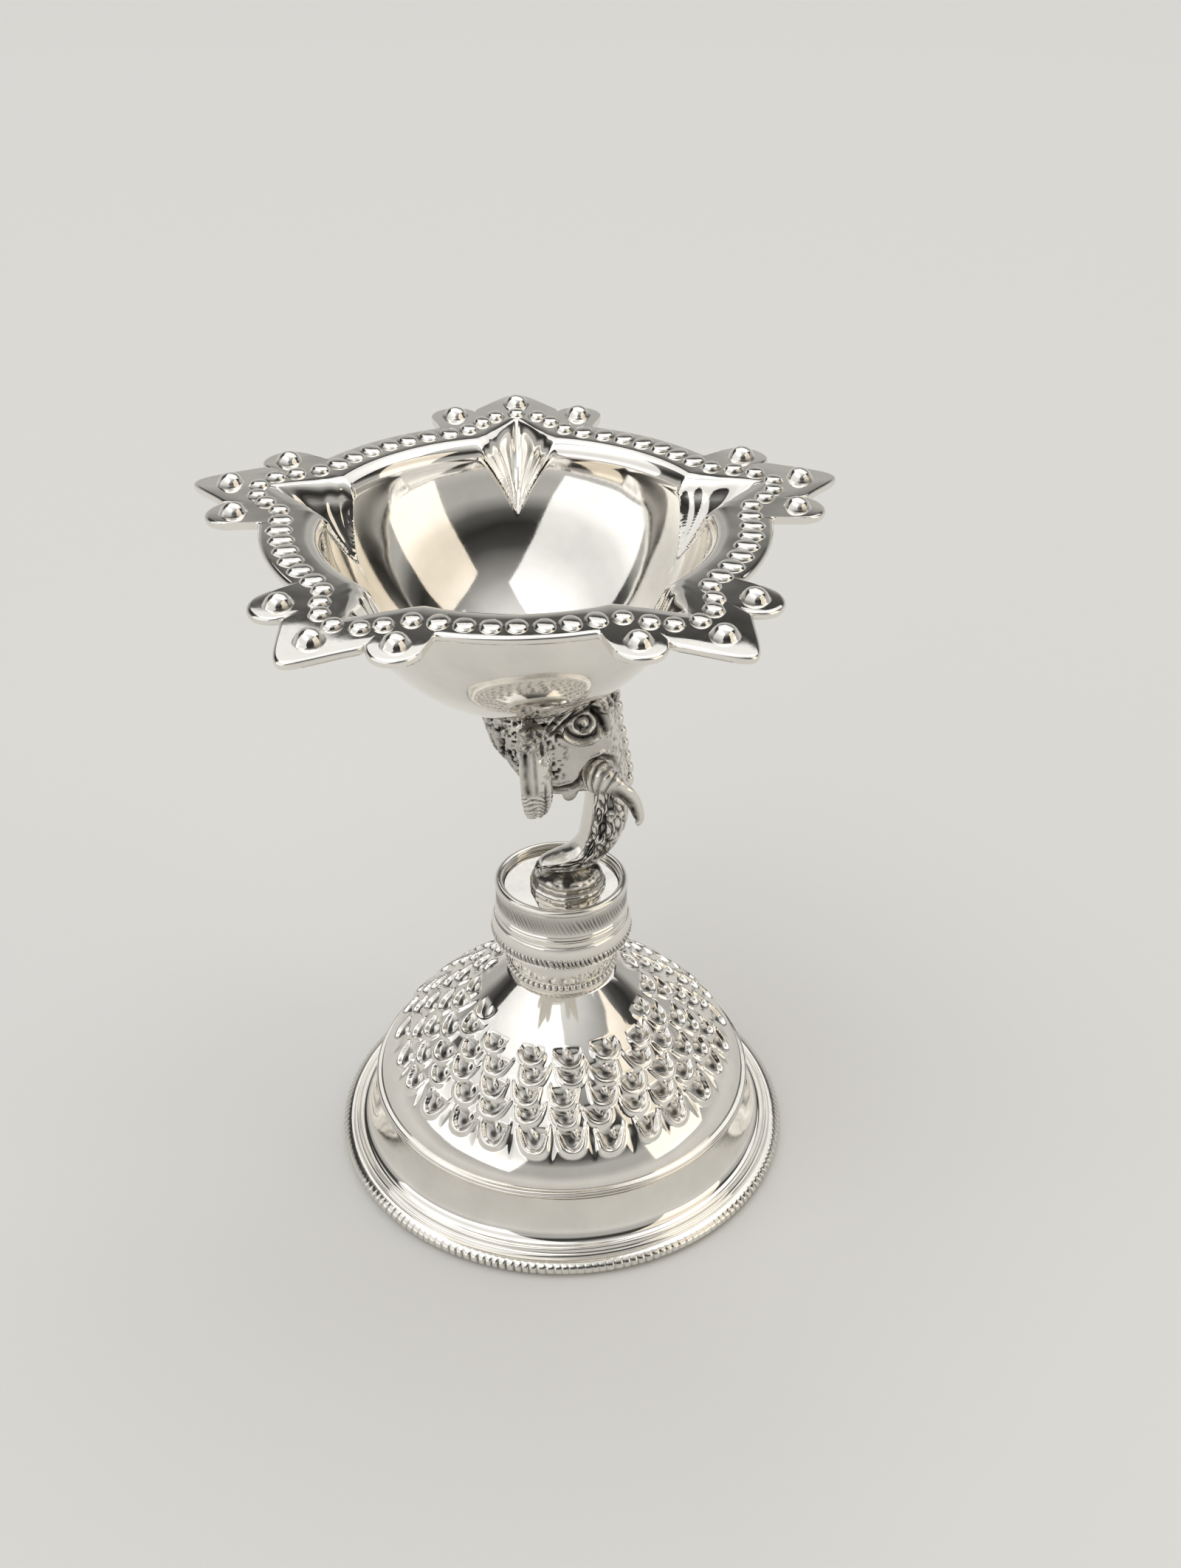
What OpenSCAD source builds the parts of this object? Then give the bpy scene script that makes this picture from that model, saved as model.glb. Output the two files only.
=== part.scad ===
// Aarti lamp in silver: a five-spouted oil bowl carried on an elephant's head, whose trunk
// stands on a turned cap, collar and neck over a domed foot. Millimetres, +Z up.
// The origin is on the surface that the lamp stands on, at the centre of the foot, and the
// elephant faces +X.

/* [Foot] */
// How far the foot reaches out past the dome, to the outside of its milled wire
foot_reach = 4.2; // [3.4:0.1:8]
// Height of the milled wire
rim_wire_h = 1.5; // [1:0.1:2.4]
// Width of the milled wire
rim_wire_w = 1.1; // [0.8:0.1:2]
// Height of the skirt of the foot
skirt_h = 6.5; // [5:0.1:9]
// Thickness of the spun skirt
skirt_wall = 0.9; // [0.5:0.1:1.4]
// Number of fine steps at the edge of the skirt
step_n = 2; // [1:1:4]
// Width and height of one fine step
step_w = 0.35; // [0.2:0.05:0.6]

/* [Dome] */
// Outer radius of the dome at its foot
dome_r = 18.4; // [16:0.1:19]
// Height of the dome
dome_h = 12.7; // [9:0.1:18]
// Sheet thickness of the dome
dome_wall = 0.8; // [0.5:0.1:1.4]
// Height of the two-ridge wire under the dome
dome_ring_h = 0.8; // [0.5:0.1:1.4]
// How far the ridges stand out past the dome
dome_ring_lip = 0.5; // [0.2:0.1:0.9]

/* [Neck and collar] */
// Outer radius of the neck
neck_r = 5.2; // [4.2:0.1:5.6]
// Height of the neck
neck_h = 4.2; // [3:0.1:8]
// Wall of the neck tube
neck_wall = 0.8; // [0.5:0.1:1.2]
// Width of the beaded wire round the neck
neck_wire_w = 0.35; // [0.2:0.05:0.5]
// Height of the beaded wire above the dome
neck_wire_up = 0.9; // [0.5:0.1:1.5]
// Outer radius of the collar at its belly
collar_r = 6.6; // [6:0.1:8]
// Height of the collar
collar_h = 3.2; // [2.4:0.1:5]

/* [Cap] */
// Outer radius of the cap drum
cap_r = 6.4; // [6:0.1:8]
// Height of the cap drum, below its rim wire
cap_h = 2.2; // [1.8:0.1:4]
// Wall of the cap drum
cap_wall = 0.7; // [0.5:0.1:1]
// Diameter of the round wire on the edge of the cap
cap_wire_d = 0.7; // [0.5:0.1:1]
// Thickness of the flat plate in the cap
plate_t = 0.6; // [0.4:0.1:1]

/* [Button under the trunk] */
// Radius of the lower tier
boss_r = 3.6; // [3.2:0.1:4.2]
// Radius of the upper tier
boss_top_r = 3.2; // [2.8:0.1:3.2]
// Height of the lower tier
boss_low_h = 0.8; // [0.5:0.1:1.4]
// Height of the upper tier
boss_top_h = 1.2; // [0.8:0.1:2]
// Distance of the button from the lamp's axis, towards +X
boss_x = 0.6; // [0:0.1:1]
// Radius of the rivet through the cap plate
rivet_r = 1.2; // [0.8:0.1:1.6]
// Radius of the rivet's spread end
rivet_head_r = 1.9; // [1.8:0.1:2.4]
// Thickness of the rivet's spread end
rivet_head_h = 0.5; // [0.3:0.1:0.8]

/* [Elephant] */
// Length of the head from the nape to the root of the trunk
head_len = 14; // [12:0.1:16]
// Width of the head between its flat cheeks
head_w = 8.6; // [7:0.1:9.4]
// Height of the head from crown to jaw
head_h = 8.8; // [7.5:0.1:10]
// Height of the trunk, from the button to the jaw
trunk_h = 10.3; // [9:0.1:13]
// Radius of the trunk at its thickest
trunk_r = 1.95; // [1.6:0.05:2.1]
// Turn of the head about the vertical
head_turn = 8; // [0:1:15]
// Distance of the head's middle from the lamp's axis, towards -X
head_back = 0.7; // [0.3:0.1:1.2]
// Height of an ear
ear_h = 9.2; // [7:0.1:9.6]
// Width of an ear, from the cheek out
ear_w = 3.9; // [3:0.1:5]
// Thickness of an ear at its rim
ear_t = 1.5; // [1:0.1:1.8]
// Length of a tusk, straight from its root to its tip
tusk_len = 5.6; // [4:0.1:7]
// Radius of a tusk at its ringed root
tusk_r = 1.6; // [1.1:0.05:1.8]
// Number of drops down the forehead
drop_n = 8; // [4:1:8]
// Radius of one drop
drop_r = 0.45; // [0.3:0.05:0.5]

/* [Bowl] */
// Outer radius of the bowl under its rolled edge
bowl_r = 17.2; // [15.5:0.1:18]
// Outer depth of the bowl, from its rolled edge to its lowest point
bowl_depth = 15.9; // [12:0.1:18]
// Sheet thickness of the bowl
bowl_wall = 0.7; // [0.5:0.1:1]
// Radius of the rolled edge between bowl and flange
roll_r = 1.6; // [1.2:0.1:2.2]
// Radius of the flange between the tabs
flange_r = 21.7; // [21:0.1:22.5]
// Number of spouts and tabs
spout_n = 5; // [4:1:6]
// Radius of a spout's end, at the flange
spout_r = 22.3; // [20.5:0.1:23]
// Height of a spout below the flange
spout_h = 6.3; // [5:0.1:9]
// Half angle of a spout's mouth, seen from above
spout_turn = 12.5; // [9:0.5:14]
// How far the tip of a tab reaches out past the flange
tab_reach = 8.3; // [6.5:0.1:11]
// How far the tips of the tabs hang down
tab_droop = 0.4; // [0:0.1:1]
// Radius of the round lobes of a tab
lobe_r = 2.2; // [1.8:0.1:2.4]
// How far out past the flange the middle of a lobe lies
lobe_reach = 2.7; // [2.3:0.1:3.8]
// Radius of the large bosses, one on every lobe and leaf
boss_knob_r = 1.15; // [0.9:0.05:1.3]
// Height of the large bosses above the flange
boss_knob_h = 0.95; // [0.5:0.05:1.2]
// Radius of the small bosses that follow a spout's mouth
boss_dot_r = 0.8; // [0.6:0.05:0.9]
// Height of the small bosses above the flange
boss_dot_h = 0.6; // [0.3:0.05:0.8]
// Distance of the bowl's axis from the lamp's axis, towards -X
bowl_back = 3.65; // [2.5:0.05:4.5]
// Turn of the bowl about its axis
bowl_turn = 20.3; // [0:0.1:72]

/* [Hidden] */

// Every cut and bore runs past the faces that it leaves by this much
over = 0.5;
// Room left in a soldered or riveted seat
seat_gap = 0.05;
// Facets of the turned pieces when they are previewed, and steps of the curves in degrees
turned_facets = 96;
arc_step = 15;
wire_facets = 16;
// Rise of one fine step of the foot, against its width
step_rise_share = 0.6;
// The dome: 1 is a cone and 2 a bowl; the count of its rings, and the step of its slope
dome_fullness = 1.45;
dome_rings = 14;
dome_probe = 0.01;
// Lip of the neck, against its wall
neck_lip_share = 0.3;
// How deep the cap's wire sits, against its radius, and how far it stands out
wire_seat_share = 0.8;
cap_wire_out_share = 0.75;
// Rounding of the button's edges, against the height of its lower tier
boss_soft_share = 0.35;
// The head's rings: their points, and how square they are, where 2 is an ellipse
head_facets = 28;
head_squareness = 2.6;
// The ears: columns from root to rim, the place and the lean of the root, and their shape
ear_cols = 5;
ear_at_share = -0.2;
ear_lean_share = 0.4;
ear_cup_share = 0.33;
ear_root_share = 0.52;
ear_root_t_share = 0.5;
ear_top_share = 0.03;
// The tusks: points and bend of the sweep, and the place of the root on the head
tusk_facets = 12;
tusk_bend = 100;
tusk_spread_share = 0.3;
tusk_probe = 0.01;
tusk_at_shares = [0.25, 0.75, 0.22];
// The drops, from the lowest to the highest, as shares of the height of the head
drop_from_share = 0.12;
drop_to_share = 0.86;
drop_proud_share = 0.7;
drop_facets = 24;
// The bowl: roundness of its wall, where it turns flat below, and the rings of its skin
bowl_round = 2.2;
bowl_fullness = 1.35;
wall_turns = [12, 22, 33, 44, 54, 63, 70, 77, 84, 90];
roll_turns = [30, 60, 90];
flat_depth_share = pow(cos(wall_turns[0]), 2 / bowl_fullness);
flange_mid_share = 0.45;
leaf_turn_share = 0.125;
lobe_turn_share = 0.195;
leaf_point = 1.5;
// The bosses: where the leaf's stands between its root and its tip, and their bell shape as
// shares of their radius and height. The small ones are placed by a share of the sector and
// of the spout's radius.
leaf_knob_share = 0.27;
knob_facets = 10;
dot_facets = 6;
bell_shares = [[1, 0], [0.62, 0.55], [0.25, 1]];
dot_places = [[0, 1.045], [0.075, 1.009], [0.126, 0.948], [0.185, 0.892]];

// Levels of the stack, from the floor up
skirt_z = skirt_h;
dome_z = skirt_z + dome_ring_h;
neck_z = dome_z + dome_h;
collar_z = neck_z + neck_h;
cap_z = collar_z + collar_h;
cap_top_z = cap_z + cap_h;
plate_top_z = cap_top_z;
boss_top_z = plate_top_z + boss_low_h + boss_top_h;
jaw_z = boss_top_z + trunk_h;
crown_z = jaw_z + head_h;

function lerp(a, b, t) = a + (b - a) * t;
function clamp(x, low, high) = max(low, min(high, x));

// One skin over a stack of rings with equal counts of points. The first and last ring are
// closed by flat faces. Rings run from bottom to top, and turn anticlockwise seen from above.
module skin(rings) {
    n = len(rings[0]);
    m = len(rings);
    points = [for (ring = rings) for (p = ring) p];
    sides = [for (i = [0 : m - 2]) for (j = [0 : n - 1]) let (k = (j + 1) % n)
        each [[i * n + j, (i + 1) * n + j, (i + 1) * n + k], [i * n + j, (i + 1) * n + k, i * n + k]]];
    bottom = [for (j = [0 : n - 1]) j];
    top = [for (j = [n - 1 : -1 : 0]) (m - 1) * n + j];
    polyhedron(points, concat([bottom], sides, [top]));
}

module turned(profile) {
    rotate_extrude($fn = turned_facets) polygon(profile);
}

// The foot. Its lip stands inside the milled wire, steps climb inwards from the lip, and a
// cove sweeps up from the steps to the seat of the dome.
foot_r = dome_r + foot_reach;
foot_lip_r = foot_r - rim_wire_w;
cove_r = foot_lip_r - (step_n + 1) * step_w;
cove_z = rim_wire_h + step_n * step_rise_share * step_w;
skirt_top_r = dome_r + dome_ring_lip;

module foot_rim_wire() {
    color("silver") turned([for (a = [-90 : arc_step : 90])
        [foot_lip_r + rim_wire_w * cos(a), rim_wire_h / 2 * (1 + sin(a))]]);
}

module foot_flange() {
    steps = [for (i = [0 : step_n - 1]) let (r = foot_lip_r - i * step_w,
        z = rim_wire_h + i * step_rise_share * step_w)
        each [[r, z], [r - step_w / 2, z + step_rise_share * step_w]]];
    cove = [for (a = [0 : arc_step : 90])
        [cove_r - (cove_r - skirt_top_r) * sin(a), skirt_z - (skirt_z - cove_z) * cos(a)]];
    under = [for (a = [90 : -arc_step : 0]) [cove_r - (cove_r - skirt_top_r + skirt_wall) * sin(a),
        skirt_z - (skirt_z - cove_z + skirt_wall) * cos(a)]];
    color("gainsboro") turned(concat([[foot_lip_r - skirt_wall, 0], [foot_lip_r, 0]],
        steps, cove, under));
}

// The wire under the dome has two round ridges, one over the other.
module dome_ring() {
    ridge_r = dome_ring_h / 4;
    ridges = [for (i = [0, 1]) each [for (a = [-90 : 2 * arc_step : 90])
        [skirt_top_r - ridge_r * (1 - cos(a)), skirt_z + ridge_r * (1 + 2 * i + sin(a))]]];
    color("silver") turned(concat([[dome_r - dome_wall, skirt_z]], ridges,
        [[dome_r - dome_wall, dome_z]]));
}

// Outline of the dome at a share t of its height: full at the foot, nearly a cone above.
dome_top_r = neck_r + seat_gap;
function dome_at(t) = [lerp(dome_top_r, dome_r, 1 - pow(t, dome_fullness)), dome_z + dome_h * t];
function dome_normal(t) = let (low = dome_at(max(t - dome_probe, 0)), high = dome_at(min(t + dome_probe, 1)),
    d = high - low) [d[1], -d[0]] / norm(d);

module dome_shell() {
    shares = [for (i = [0 : dome_rings]) i / dome_rings];
    outer = [for (t = shares) dome_at(t)];
    inner = [for (i = [dome_rings : -1 : 1]) dome_at(shares[i]) - dome_wall * dome_normal(shares[i])];
    color("gainsboro") turned(concat(outer, [[neck_bore_r, neck_z],
        [neck_bore_r, inner[0][1]]], inner, [[dome_r - dome_wall, dome_z]]));
}

// The neck is a tube with a fine lip under the collar.
neck_bore_r = neck_r - neck_wall;
module neck_sleeve() {
    lip = neck_lip_share * neck_wall;
    color("silver") turned([[neck_bore_r, neck_z], [neck_r, neck_z], [neck_r, collar_z - 2 * lip],
        [neck_r + lip, collar_z - lip], [neck_r + lip, collar_z], [neck_bore_r, collar_z]]);
}

module neck_beading() {
    color("silver") turned([for (a = [-90 : 2 * arc_step : 90])
        [neck_r + neck_wire_w * cos(a), neck_z + neck_wire_up + neck_wire_w * sin(a)]]);
}

// Outlines of the collar and the cap drum: shares of the radius and of the height.
collar_shares = [[0.89, 0], [0.89, 0.06], [0.93, 0.1], [0.965, 0.22], [0.985, 0.36], [0.98, 0.39],
    [0.995, 0.46], [1, 0.56], [0.993, 0.68], [0.975, 0.78], [0.945, 0.86], [0.93, 0.9],
    [0.93, 0.94], [0.955, 0.95], [0.955, 1]];
drum_shares = [[0.985, 0], [1, 0.06], [0.985, 0.12], [0.97, 0.14], [0.985, 0.18], [0.985, 0.24],
    [0.965, 0.28], [0.96, 0.6], [0.965, 0.94], [0.955, 1]];

module collar_ring() {
    color("gainsboro") turned(concat([[neck_bore_r, collar_z]],
        [for (s = collar_shares) [s[0] * collar_r, collar_z + s[1] * collar_h]],
        [[neck_bore_r, cap_z]]));
}

// The drum holds the plate on a ledge, flush with its top.
drum_edge_r = drum_shares[len(drum_shares) - 1][0] * cap_r;
plate_r = drum_edge_r - cap_wall + seat_gap;
ledge_z = cap_top_z - plate_t;
ledge_r = plate_r - cap_wall;

module cap_drum() {
    color("gainsboro") turned(concat([[neck_bore_r, cap_z]],
        [for (s = drum_shares) [s[0] * cap_r, cap_z + s[1] * cap_h]],
        [[plate_r + seat_gap, cap_top_z], [plate_r + seat_gap, ledge_z], [ledge_r, ledge_z],
        [ledge_r, cap_z + cap_wall], [neck_bore_r, cap_z + cap_wall]]));
}

// A round wire, filed flat where it sits on the drum.
module cap_rim_wire() {
    r = cap_wire_d / 2;
    sink = asin(wire_seat_share);
    color("silver") turned([for (i = [0 : wire_facets]) let (a = lerp(-sink, 180 + sink, i / wire_facets))
        [drum_edge_r + cap_wire_out_share * r - r + r * cos(a), cap_top_z + r * (wire_seat_share + sin(a))]]);
}

module cap_plate() {
    color("white") difference() {
        translate([0, 0, ledge_z]) cylinder(h = plate_t, r = plate_r, $fn = turned_facets);
        translate([boss_x, 0, ledge_z - over])
            cylinder(h = plate_t + 2 * over, r = rivet_r + seat_gap, $fn = turned_facets);
    }
}

// The button under the trunk has two tiers, and a rivet that is spread below the plate.
module trunk_boss() {
    soft = boss_soft_share * boss_low_h;
    low_z = plate_top_z + boss_low_h;
    color("silver") translate([boss_x, 0, 0]) turned([[0, ledge_z - rivet_head_h],
        [rivet_head_r, ledge_z - rivet_head_h], [rivet_head_r, ledge_z], [rivet_r, ledge_z],
        [rivet_r, plate_top_z], [boss_r, plate_top_z], [boss_r, low_z - soft],
        [boss_r - soft, low_z], [boss_top_r, low_z], [boss_top_r, boss_top_z - soft],
        [boss_top_r - soft, boss_top_z], [0, boss_top_z]]);
}

// The elephant stands in its own frame: U forward to the forehead, W to its left, Z up.
module in_head_frame() {
    translate([-head_back, 0, 0]) rotate([0, 0, head_turn]) children();
}

// Rings of the trunk from its tip to the jaw: shares of head_len forward and of trunk_h up,
// shares of trunk_r for its thickness and its width, and the lean of the ring in degrees.
trunk_shares = [[-0.1, 0.03, 0.2, 0.25, -90], [-0.085, 0.035, 0.34, 0.45, -90],
    [-0.04, 0.045, 0.44, 0.64, -88], [0.03, 0.06, 0.54, 0.78, -84], [0.105, 0.08, 0.64, 0.86, -76],
    [0.18, 0.125, 0.74, 0.9, -64], [0.245, 0.205, 0.84, 0.93, -48], [0.292, 0.31, 0.94, 0.97, -30],
    [0.322, 0.44, 1, 1, -16], [0.338, 0.58, 1, 0.98, -6], [0.344, 0.72, 0.97, 0.96, 0],
    [0.348, 0.86, 1, 1, 0]];
// Rings of the head from the jaw to the crown: shares of head_h up, of head_len for the back
// and the front, and of half of head_w for the width, which the flat cheeks cut off at 1.
head_shares = [[0, 0.2, 0.495, 0.5], [0.02, 0.06, 0.495, 0.7], [0.05, -0.15, 0.49, 0.88],
    [0.11, -0.21, 0.485, 1], [0.22, -0.26, 0.47, 1.08], [0.36, -0.33, 0.455, 1.1],
    [0.5, -0.39, 0.44, 1.1], [0.64, -0.45, 0.42, 1.1], [0.78, -0.5, 0.415, 1.08],
    [0.9, -0.53, 0.41, 1.04], [1, -0.52, 0.37, 0.92]];

function boxy(x) = sign(x) * pow(abs(x), 2 / head_squareness);
function trunk_ring(s) = [for (i = [0 : head_facets - 1]) let (a = i * 360 / head_facets,
    reach = s[2] * trunk_r * cos(a))
    [s[0] * head_len + reach * cos(s[4]), s[3] * trunk_r * sin(a),
        boss_top_z + s[1] * trunk_h + reach * sin(s[4])]];
function head_ring(s) = [for (i = [0 : head_facets - 1]) let (a = i * 360 / head_facets)
    [((s[1] + s[2]) / 2 + (s[2] - s[1]) / 2 * boxy(cos(a))) * head_len,
        clamp(s[3] * boxy(sin(a)), -1, 1) * head_w / 2, jaw_z + s[0] * head_h]];

module head_solid() {
    skin(concat([for (s = trunk_shares) trunk_ring(s)], [for (s = head_shares) head_ring(s)]));
}

module elephant_head() {
    color("silver") difference() {
        in_head_frame() head_solid();
        translate([boss_x - boss_r, -boss_r, boss_top_z - boss_r])
            cube([2 * boss_r, 2 * boss_r, boss_r]);
    }
}

// An ear is a cupped fan: rows from its lobe to its top, each with its width and its height
// as shares. Its root stands on the flat cheek, and its rim curls forward.
ear_shares = [[0.3, 0], [0.62, 0.1], [0.8, 0.24], [0.92, 0.42], [1, 0.6], [0.98, 0.76], [0.84, 0.89],
    [0.5, 1]];
function ear_point(row, s, side, face) = let (root_z = lerp(ear_root_share, 1, row[1]),
    z = lerp(root_z, row[1], s), curl = sin(180 * s) * ear_cup_share)
    [ear_at_share * head_len + ear_t * (face / 2 * lerp(1, ear_root_t_share, 1 - s) + curl
        + ear_lean_share * (1 - row[1])),
        side * (head_w / 2 + row[0] * ear_w * s), crown_z - ear_top_share * ear_h - ear_h * (1 - z)];
module ear(side) {
    loop = concat([for (i = [0 : ear_cols]) [i / ear_cols, 1]], [for (i = [ear_cols : -1 : 0]) [i / ear_cols, -1]]);
    turn = side > 0 ? loop : [for (i = [len(loop) - 1 : -1 : 0]) loop[i]];
    in_head_frame() skin([for (row = ear_shares) [for (c = turn) ear_point(row, c[0], side, c[1])]]);
}
module ear_near() { color("silver") ear(-1); }
module ear_far() { color("silver") ear(1); }

// A tusk leaves the cheek forwards and outwards and bends down. Rings of its root swell and
// pinch, and the rest tapers to a blunt tip.
tusk_ring_shares = [1, 1.04, 0.9, 1, 0.84, 0.9, 0.64, 0.56, 0.5, 0.43, 0.34, 0.22, 0.08];
tusk_n = len(tusk_ring_shares) - 1;
function tusk_path(t) = let (a = tusk_bend * t)
    [sin(a), tusk_spread_share * sin(90 * t), cos(a) - 1] / (2 * sin(tusk_bend / 2));
module tusk(side) {
    rings = [for (i = [tusk_n : -1 : 0]) let (t = i / tusk_n, p = tusk_path(t),
        d = tusk_path(t + tusk_probe) - tusk_path(t - tusk_probe), f = -d / norm(d),
        w = cross([0, 0, 1], f) / norm(cross([0, 0, 1], f)), v = cross(f, w), r = tusk_r * tusk_ring_shares[i])
        [for (k = [0 : tusk_facets - 1]) let (b = k * 360 / tusk_facets,
            q = tusk_len * p + r * (w * cos(b) + v * sin(b)))
            [tusk_at_shares[0] * head_len + q[0], -(tusk_at_shares[1] * head_w / 2 + q[1]),
                jaw_z + tusk_at_shares[2] * head_h + q[2]]]];
    difference() {
        in_head_frame() mirror([0, side > 0 ? 1 : 0, 0]) skin(rings);
        in_head_frame() head_solid();
    }
}
module tusk_near() { color("silver") tusk(-1); }
module tusk_far() { color("silver") tusk(1); }

// The drops lie on the middle line of the forehead, one under the other.
function forehead_at(z) = let (rows = [for (s = head_shares) [s[0], s[2]]]) lookup(z, rows) * head_len;
module forehead_beads() {
    color("silver") in_head_frame() for (i = [0 : drop_n - 1]) {
        share = lerp(drop_from_share, drop_to_share, i / (drop_n - 1));
        translate([forehead_at(share) + drop_r * drop_proud_share, 0, jaw_z + share * head_h])
            sphere(r = drop_r, $fn = drop_facets);
    }
}

// The bowl. Each ring of its skin is [radius, height, drop below the flange], and the spouts
// push it outwards to straight valleys that run from the wall up to the flange.
rim_z = crown_z + bowl_depth * flat_depth_share + roll_r;
roll_z = rim_z - roll_r;
sector = 360 / spout_n;
sector_shares = [0, 0.07, 0.14, 0.21, 0.25, 0.32, 0.39, 0.46, 0.525, 0.54, 0.64, 0.8, 1];
sector_n = len(sector_shares) - 1;
turns = [for (k = [0 : spout_n - 1]) each [for (i = [-sector_n : sector_n - 1])
    [sector / 2 * sign(i) * sector_shares[abs(i)], k * sector]]];

// Radius of the wall at a depth below the roll, for the outer or the inner face.
function wall_point(a, inset) = [(bowl_r - inset) * pow(sin(a), 2 / bowl_round),
    roll_z - (bowl_depth - inset) * pow(cos(a), 2 / bowl_fullness)];
function wall_r_at(z, inset) =
    (bowl_r - inset) * pow(1 - pow((roll_z - z) / (bowl_depth - inset), bowl_fullness), 1 / bowl_round);
function roll_point(b, inset) = [bowl_r - bowl_wall + roll_r - (roll_r - bowl_wall + inset) * cos(b),
    roll_z + (roll_r - bowl_wall + inset) * sin(b)];
apex_z = rim_z - spout_h;
apex_r = wall_r_at(apex_z, bowl_wall);
mouth_r = bowl_r - bowl_wall + roll_r;
function spouted(r, z, turn, skin_t) = let (t = min((z - apex_z) / spout_h, 1),
    push = max(lerp(apex_r, spout_r, t) + skin_t - r, 0))
    t > 0 ? r + push * max(1 - abs(turn) / (spout_turn * t), 0) : r;

// Edge of the flange: a circle, with a pointed leaf between two round lobes at every spout.
tab_r = flange_r + tab_reach;
lobe_place_r = flange_r + lobe_reach;
leaf_r = lobe_place_r + bowl_wall;
leaf_turn = leaf_turn_share * sector;
lobe_turn = lobe_turn_share * sector;
function leaf_at(turn) = abs(turn) < leaf_turn
    ? leaf_r + (tab_r - leaf_r) * pow(1 - abs(turn) / leaf_turn, leaf_point) : 0;
function lobe_at(turn) = let (b = abs(turn) - lobe_turn, side = lobe_place_r * sin(b))
    abs(side) < lobe_r ? lobe_place_r * cos(b) + sqrt(lobe_r * lobe_r - side * side) : 0;
function edge_at(turn) = max(flange_r, leaf_at(turn), lobe_at(turn));
function droop_at(r) = tab_droop * pow(max(r - flange_r, 0) / (tab_r - flange_r), 2);

function on_bowl(r, z, turn, spoke) = [r * cos(turn + spoke + bowl_turn) - bowl_back,
    r * sin(turn + spoke + bowl_turn), z - droop_at(r)];
function wall_ring(q, skin_t) = [for (t = turns) on_bowl(spouted(q[0], q[1], t[0], skin_t), q[1], t[0], t[1])];
function flange_ring(share, drop) = [for (t = turns)
    on_bowl(lerp(spouted(mouth_r, rim_z, t[0], 0), edge_at(t[0]), share), rim_z - drop, t[0], t[1])];

// A boss is a bell punched up from the sheet, and its foot stands inside the sheet.
module boss(r, turn, foot_r, h, facets) {
    rotate([0, 0, turn]) translate([r, 0, rim_z - droop_at(r)]) rotate_extrude($fn = facets)
        polygon(concat([[0, -bowl_wall / 2], [foot_r, -bowl_wall / 2]],
            [for (b = bell_shares) [b[0] * foot_r, b[1] * h]], [[0, h]]));
}
module bosses() {
    translate([-bowl_back, 0, 0]) for (k = [0 : spout_n - 1], side = [-1, 1]) {
        spoke = bowl_turn + k * sector;
        boss(lobe_place_r, spoke + side * lobe_turn, boss_knob_r, boss_knob_h, knob_facets);
        if (side > 0)
            boss(lerp(leaf_r, tab_r, leaf_knob_share), spoke, boss_knob_r, boss_knob_h, knob_facets);
        for (place = dot_places) if (side > 0 || place[0] > 0)
            boss(spout_r * place[1], spoke + side * sector * place[0], boss_dot_r, boss_dot_h, dot_facets);
    }
}

module bowl() {
    outside = [for (a = wall_turns) wall_ring(wall_point(a, 0), bowl_wall)];
    under_roll = [for (b = roll_turns) wall_ring(roll_point(b, 0), bowl_wall)];
    flange = [flange_ring(flange_mid_share, bowl_wall), flange_ring(1, bowl_wall), flange_ring(1, 0),
        flange_ring(flange_mid_share, 0)];
    over_roll = [for (i = [len(roll_turns) - 1 : -1 : 0]) wall_ring(roll_point(roll_turns[i], bowl_wall), 0)];
    inside = [for (i = [len(wall_turns) - 1 : -1 : 0]) wall_ring(wall_point(wall_turns[i], bowl_wall), 0)];
    color("gainsboro") union() {
        skin(concat(outside, under_roll, flange, over_roll, inside));
        bosses();
    }
}

foot_rim_wire();
foot_flange();
dome_ring();
dome_shell();
neck_sleeve();
neck_beading();
collar_ring();
cap_drum();
cap_rim_wire();
cap_plate();
trunk_boss();
elephant_head();
ear_near();
ear_far();
tusk_near();
tusk_far();
forehead_beads();
bowl();
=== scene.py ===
"""Aarti lamp in polished silver: a five-spouted oil bowl on an elephant's head, whose trunk
stands on a turned cap, collar and neck over a domed foot chased with scales."""

import bpy
import numpy as np
from mathutils import Euler, Matrix


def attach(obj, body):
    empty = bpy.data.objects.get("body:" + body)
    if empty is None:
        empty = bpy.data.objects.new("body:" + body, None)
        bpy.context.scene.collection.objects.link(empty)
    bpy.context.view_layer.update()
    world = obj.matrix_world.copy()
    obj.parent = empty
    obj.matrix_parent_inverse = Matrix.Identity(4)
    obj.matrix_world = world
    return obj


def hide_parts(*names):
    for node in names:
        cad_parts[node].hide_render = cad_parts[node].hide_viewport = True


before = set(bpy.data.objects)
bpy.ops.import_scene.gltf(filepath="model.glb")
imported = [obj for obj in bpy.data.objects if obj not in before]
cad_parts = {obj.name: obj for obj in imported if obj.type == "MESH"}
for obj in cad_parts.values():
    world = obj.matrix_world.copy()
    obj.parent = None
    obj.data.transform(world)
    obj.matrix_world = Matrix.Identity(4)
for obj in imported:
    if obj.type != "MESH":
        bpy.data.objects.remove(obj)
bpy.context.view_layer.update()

MM = 0.001
TAU = 2 * np.pi


# Meshes

def in_scene(name, data):
    """A new object of the scene that holds a mesh, a light or a camera."""
    made = bpy.data.objects.new(name, data)
    bpy.context.scene.collection.objects.link(made)
    return made


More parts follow.
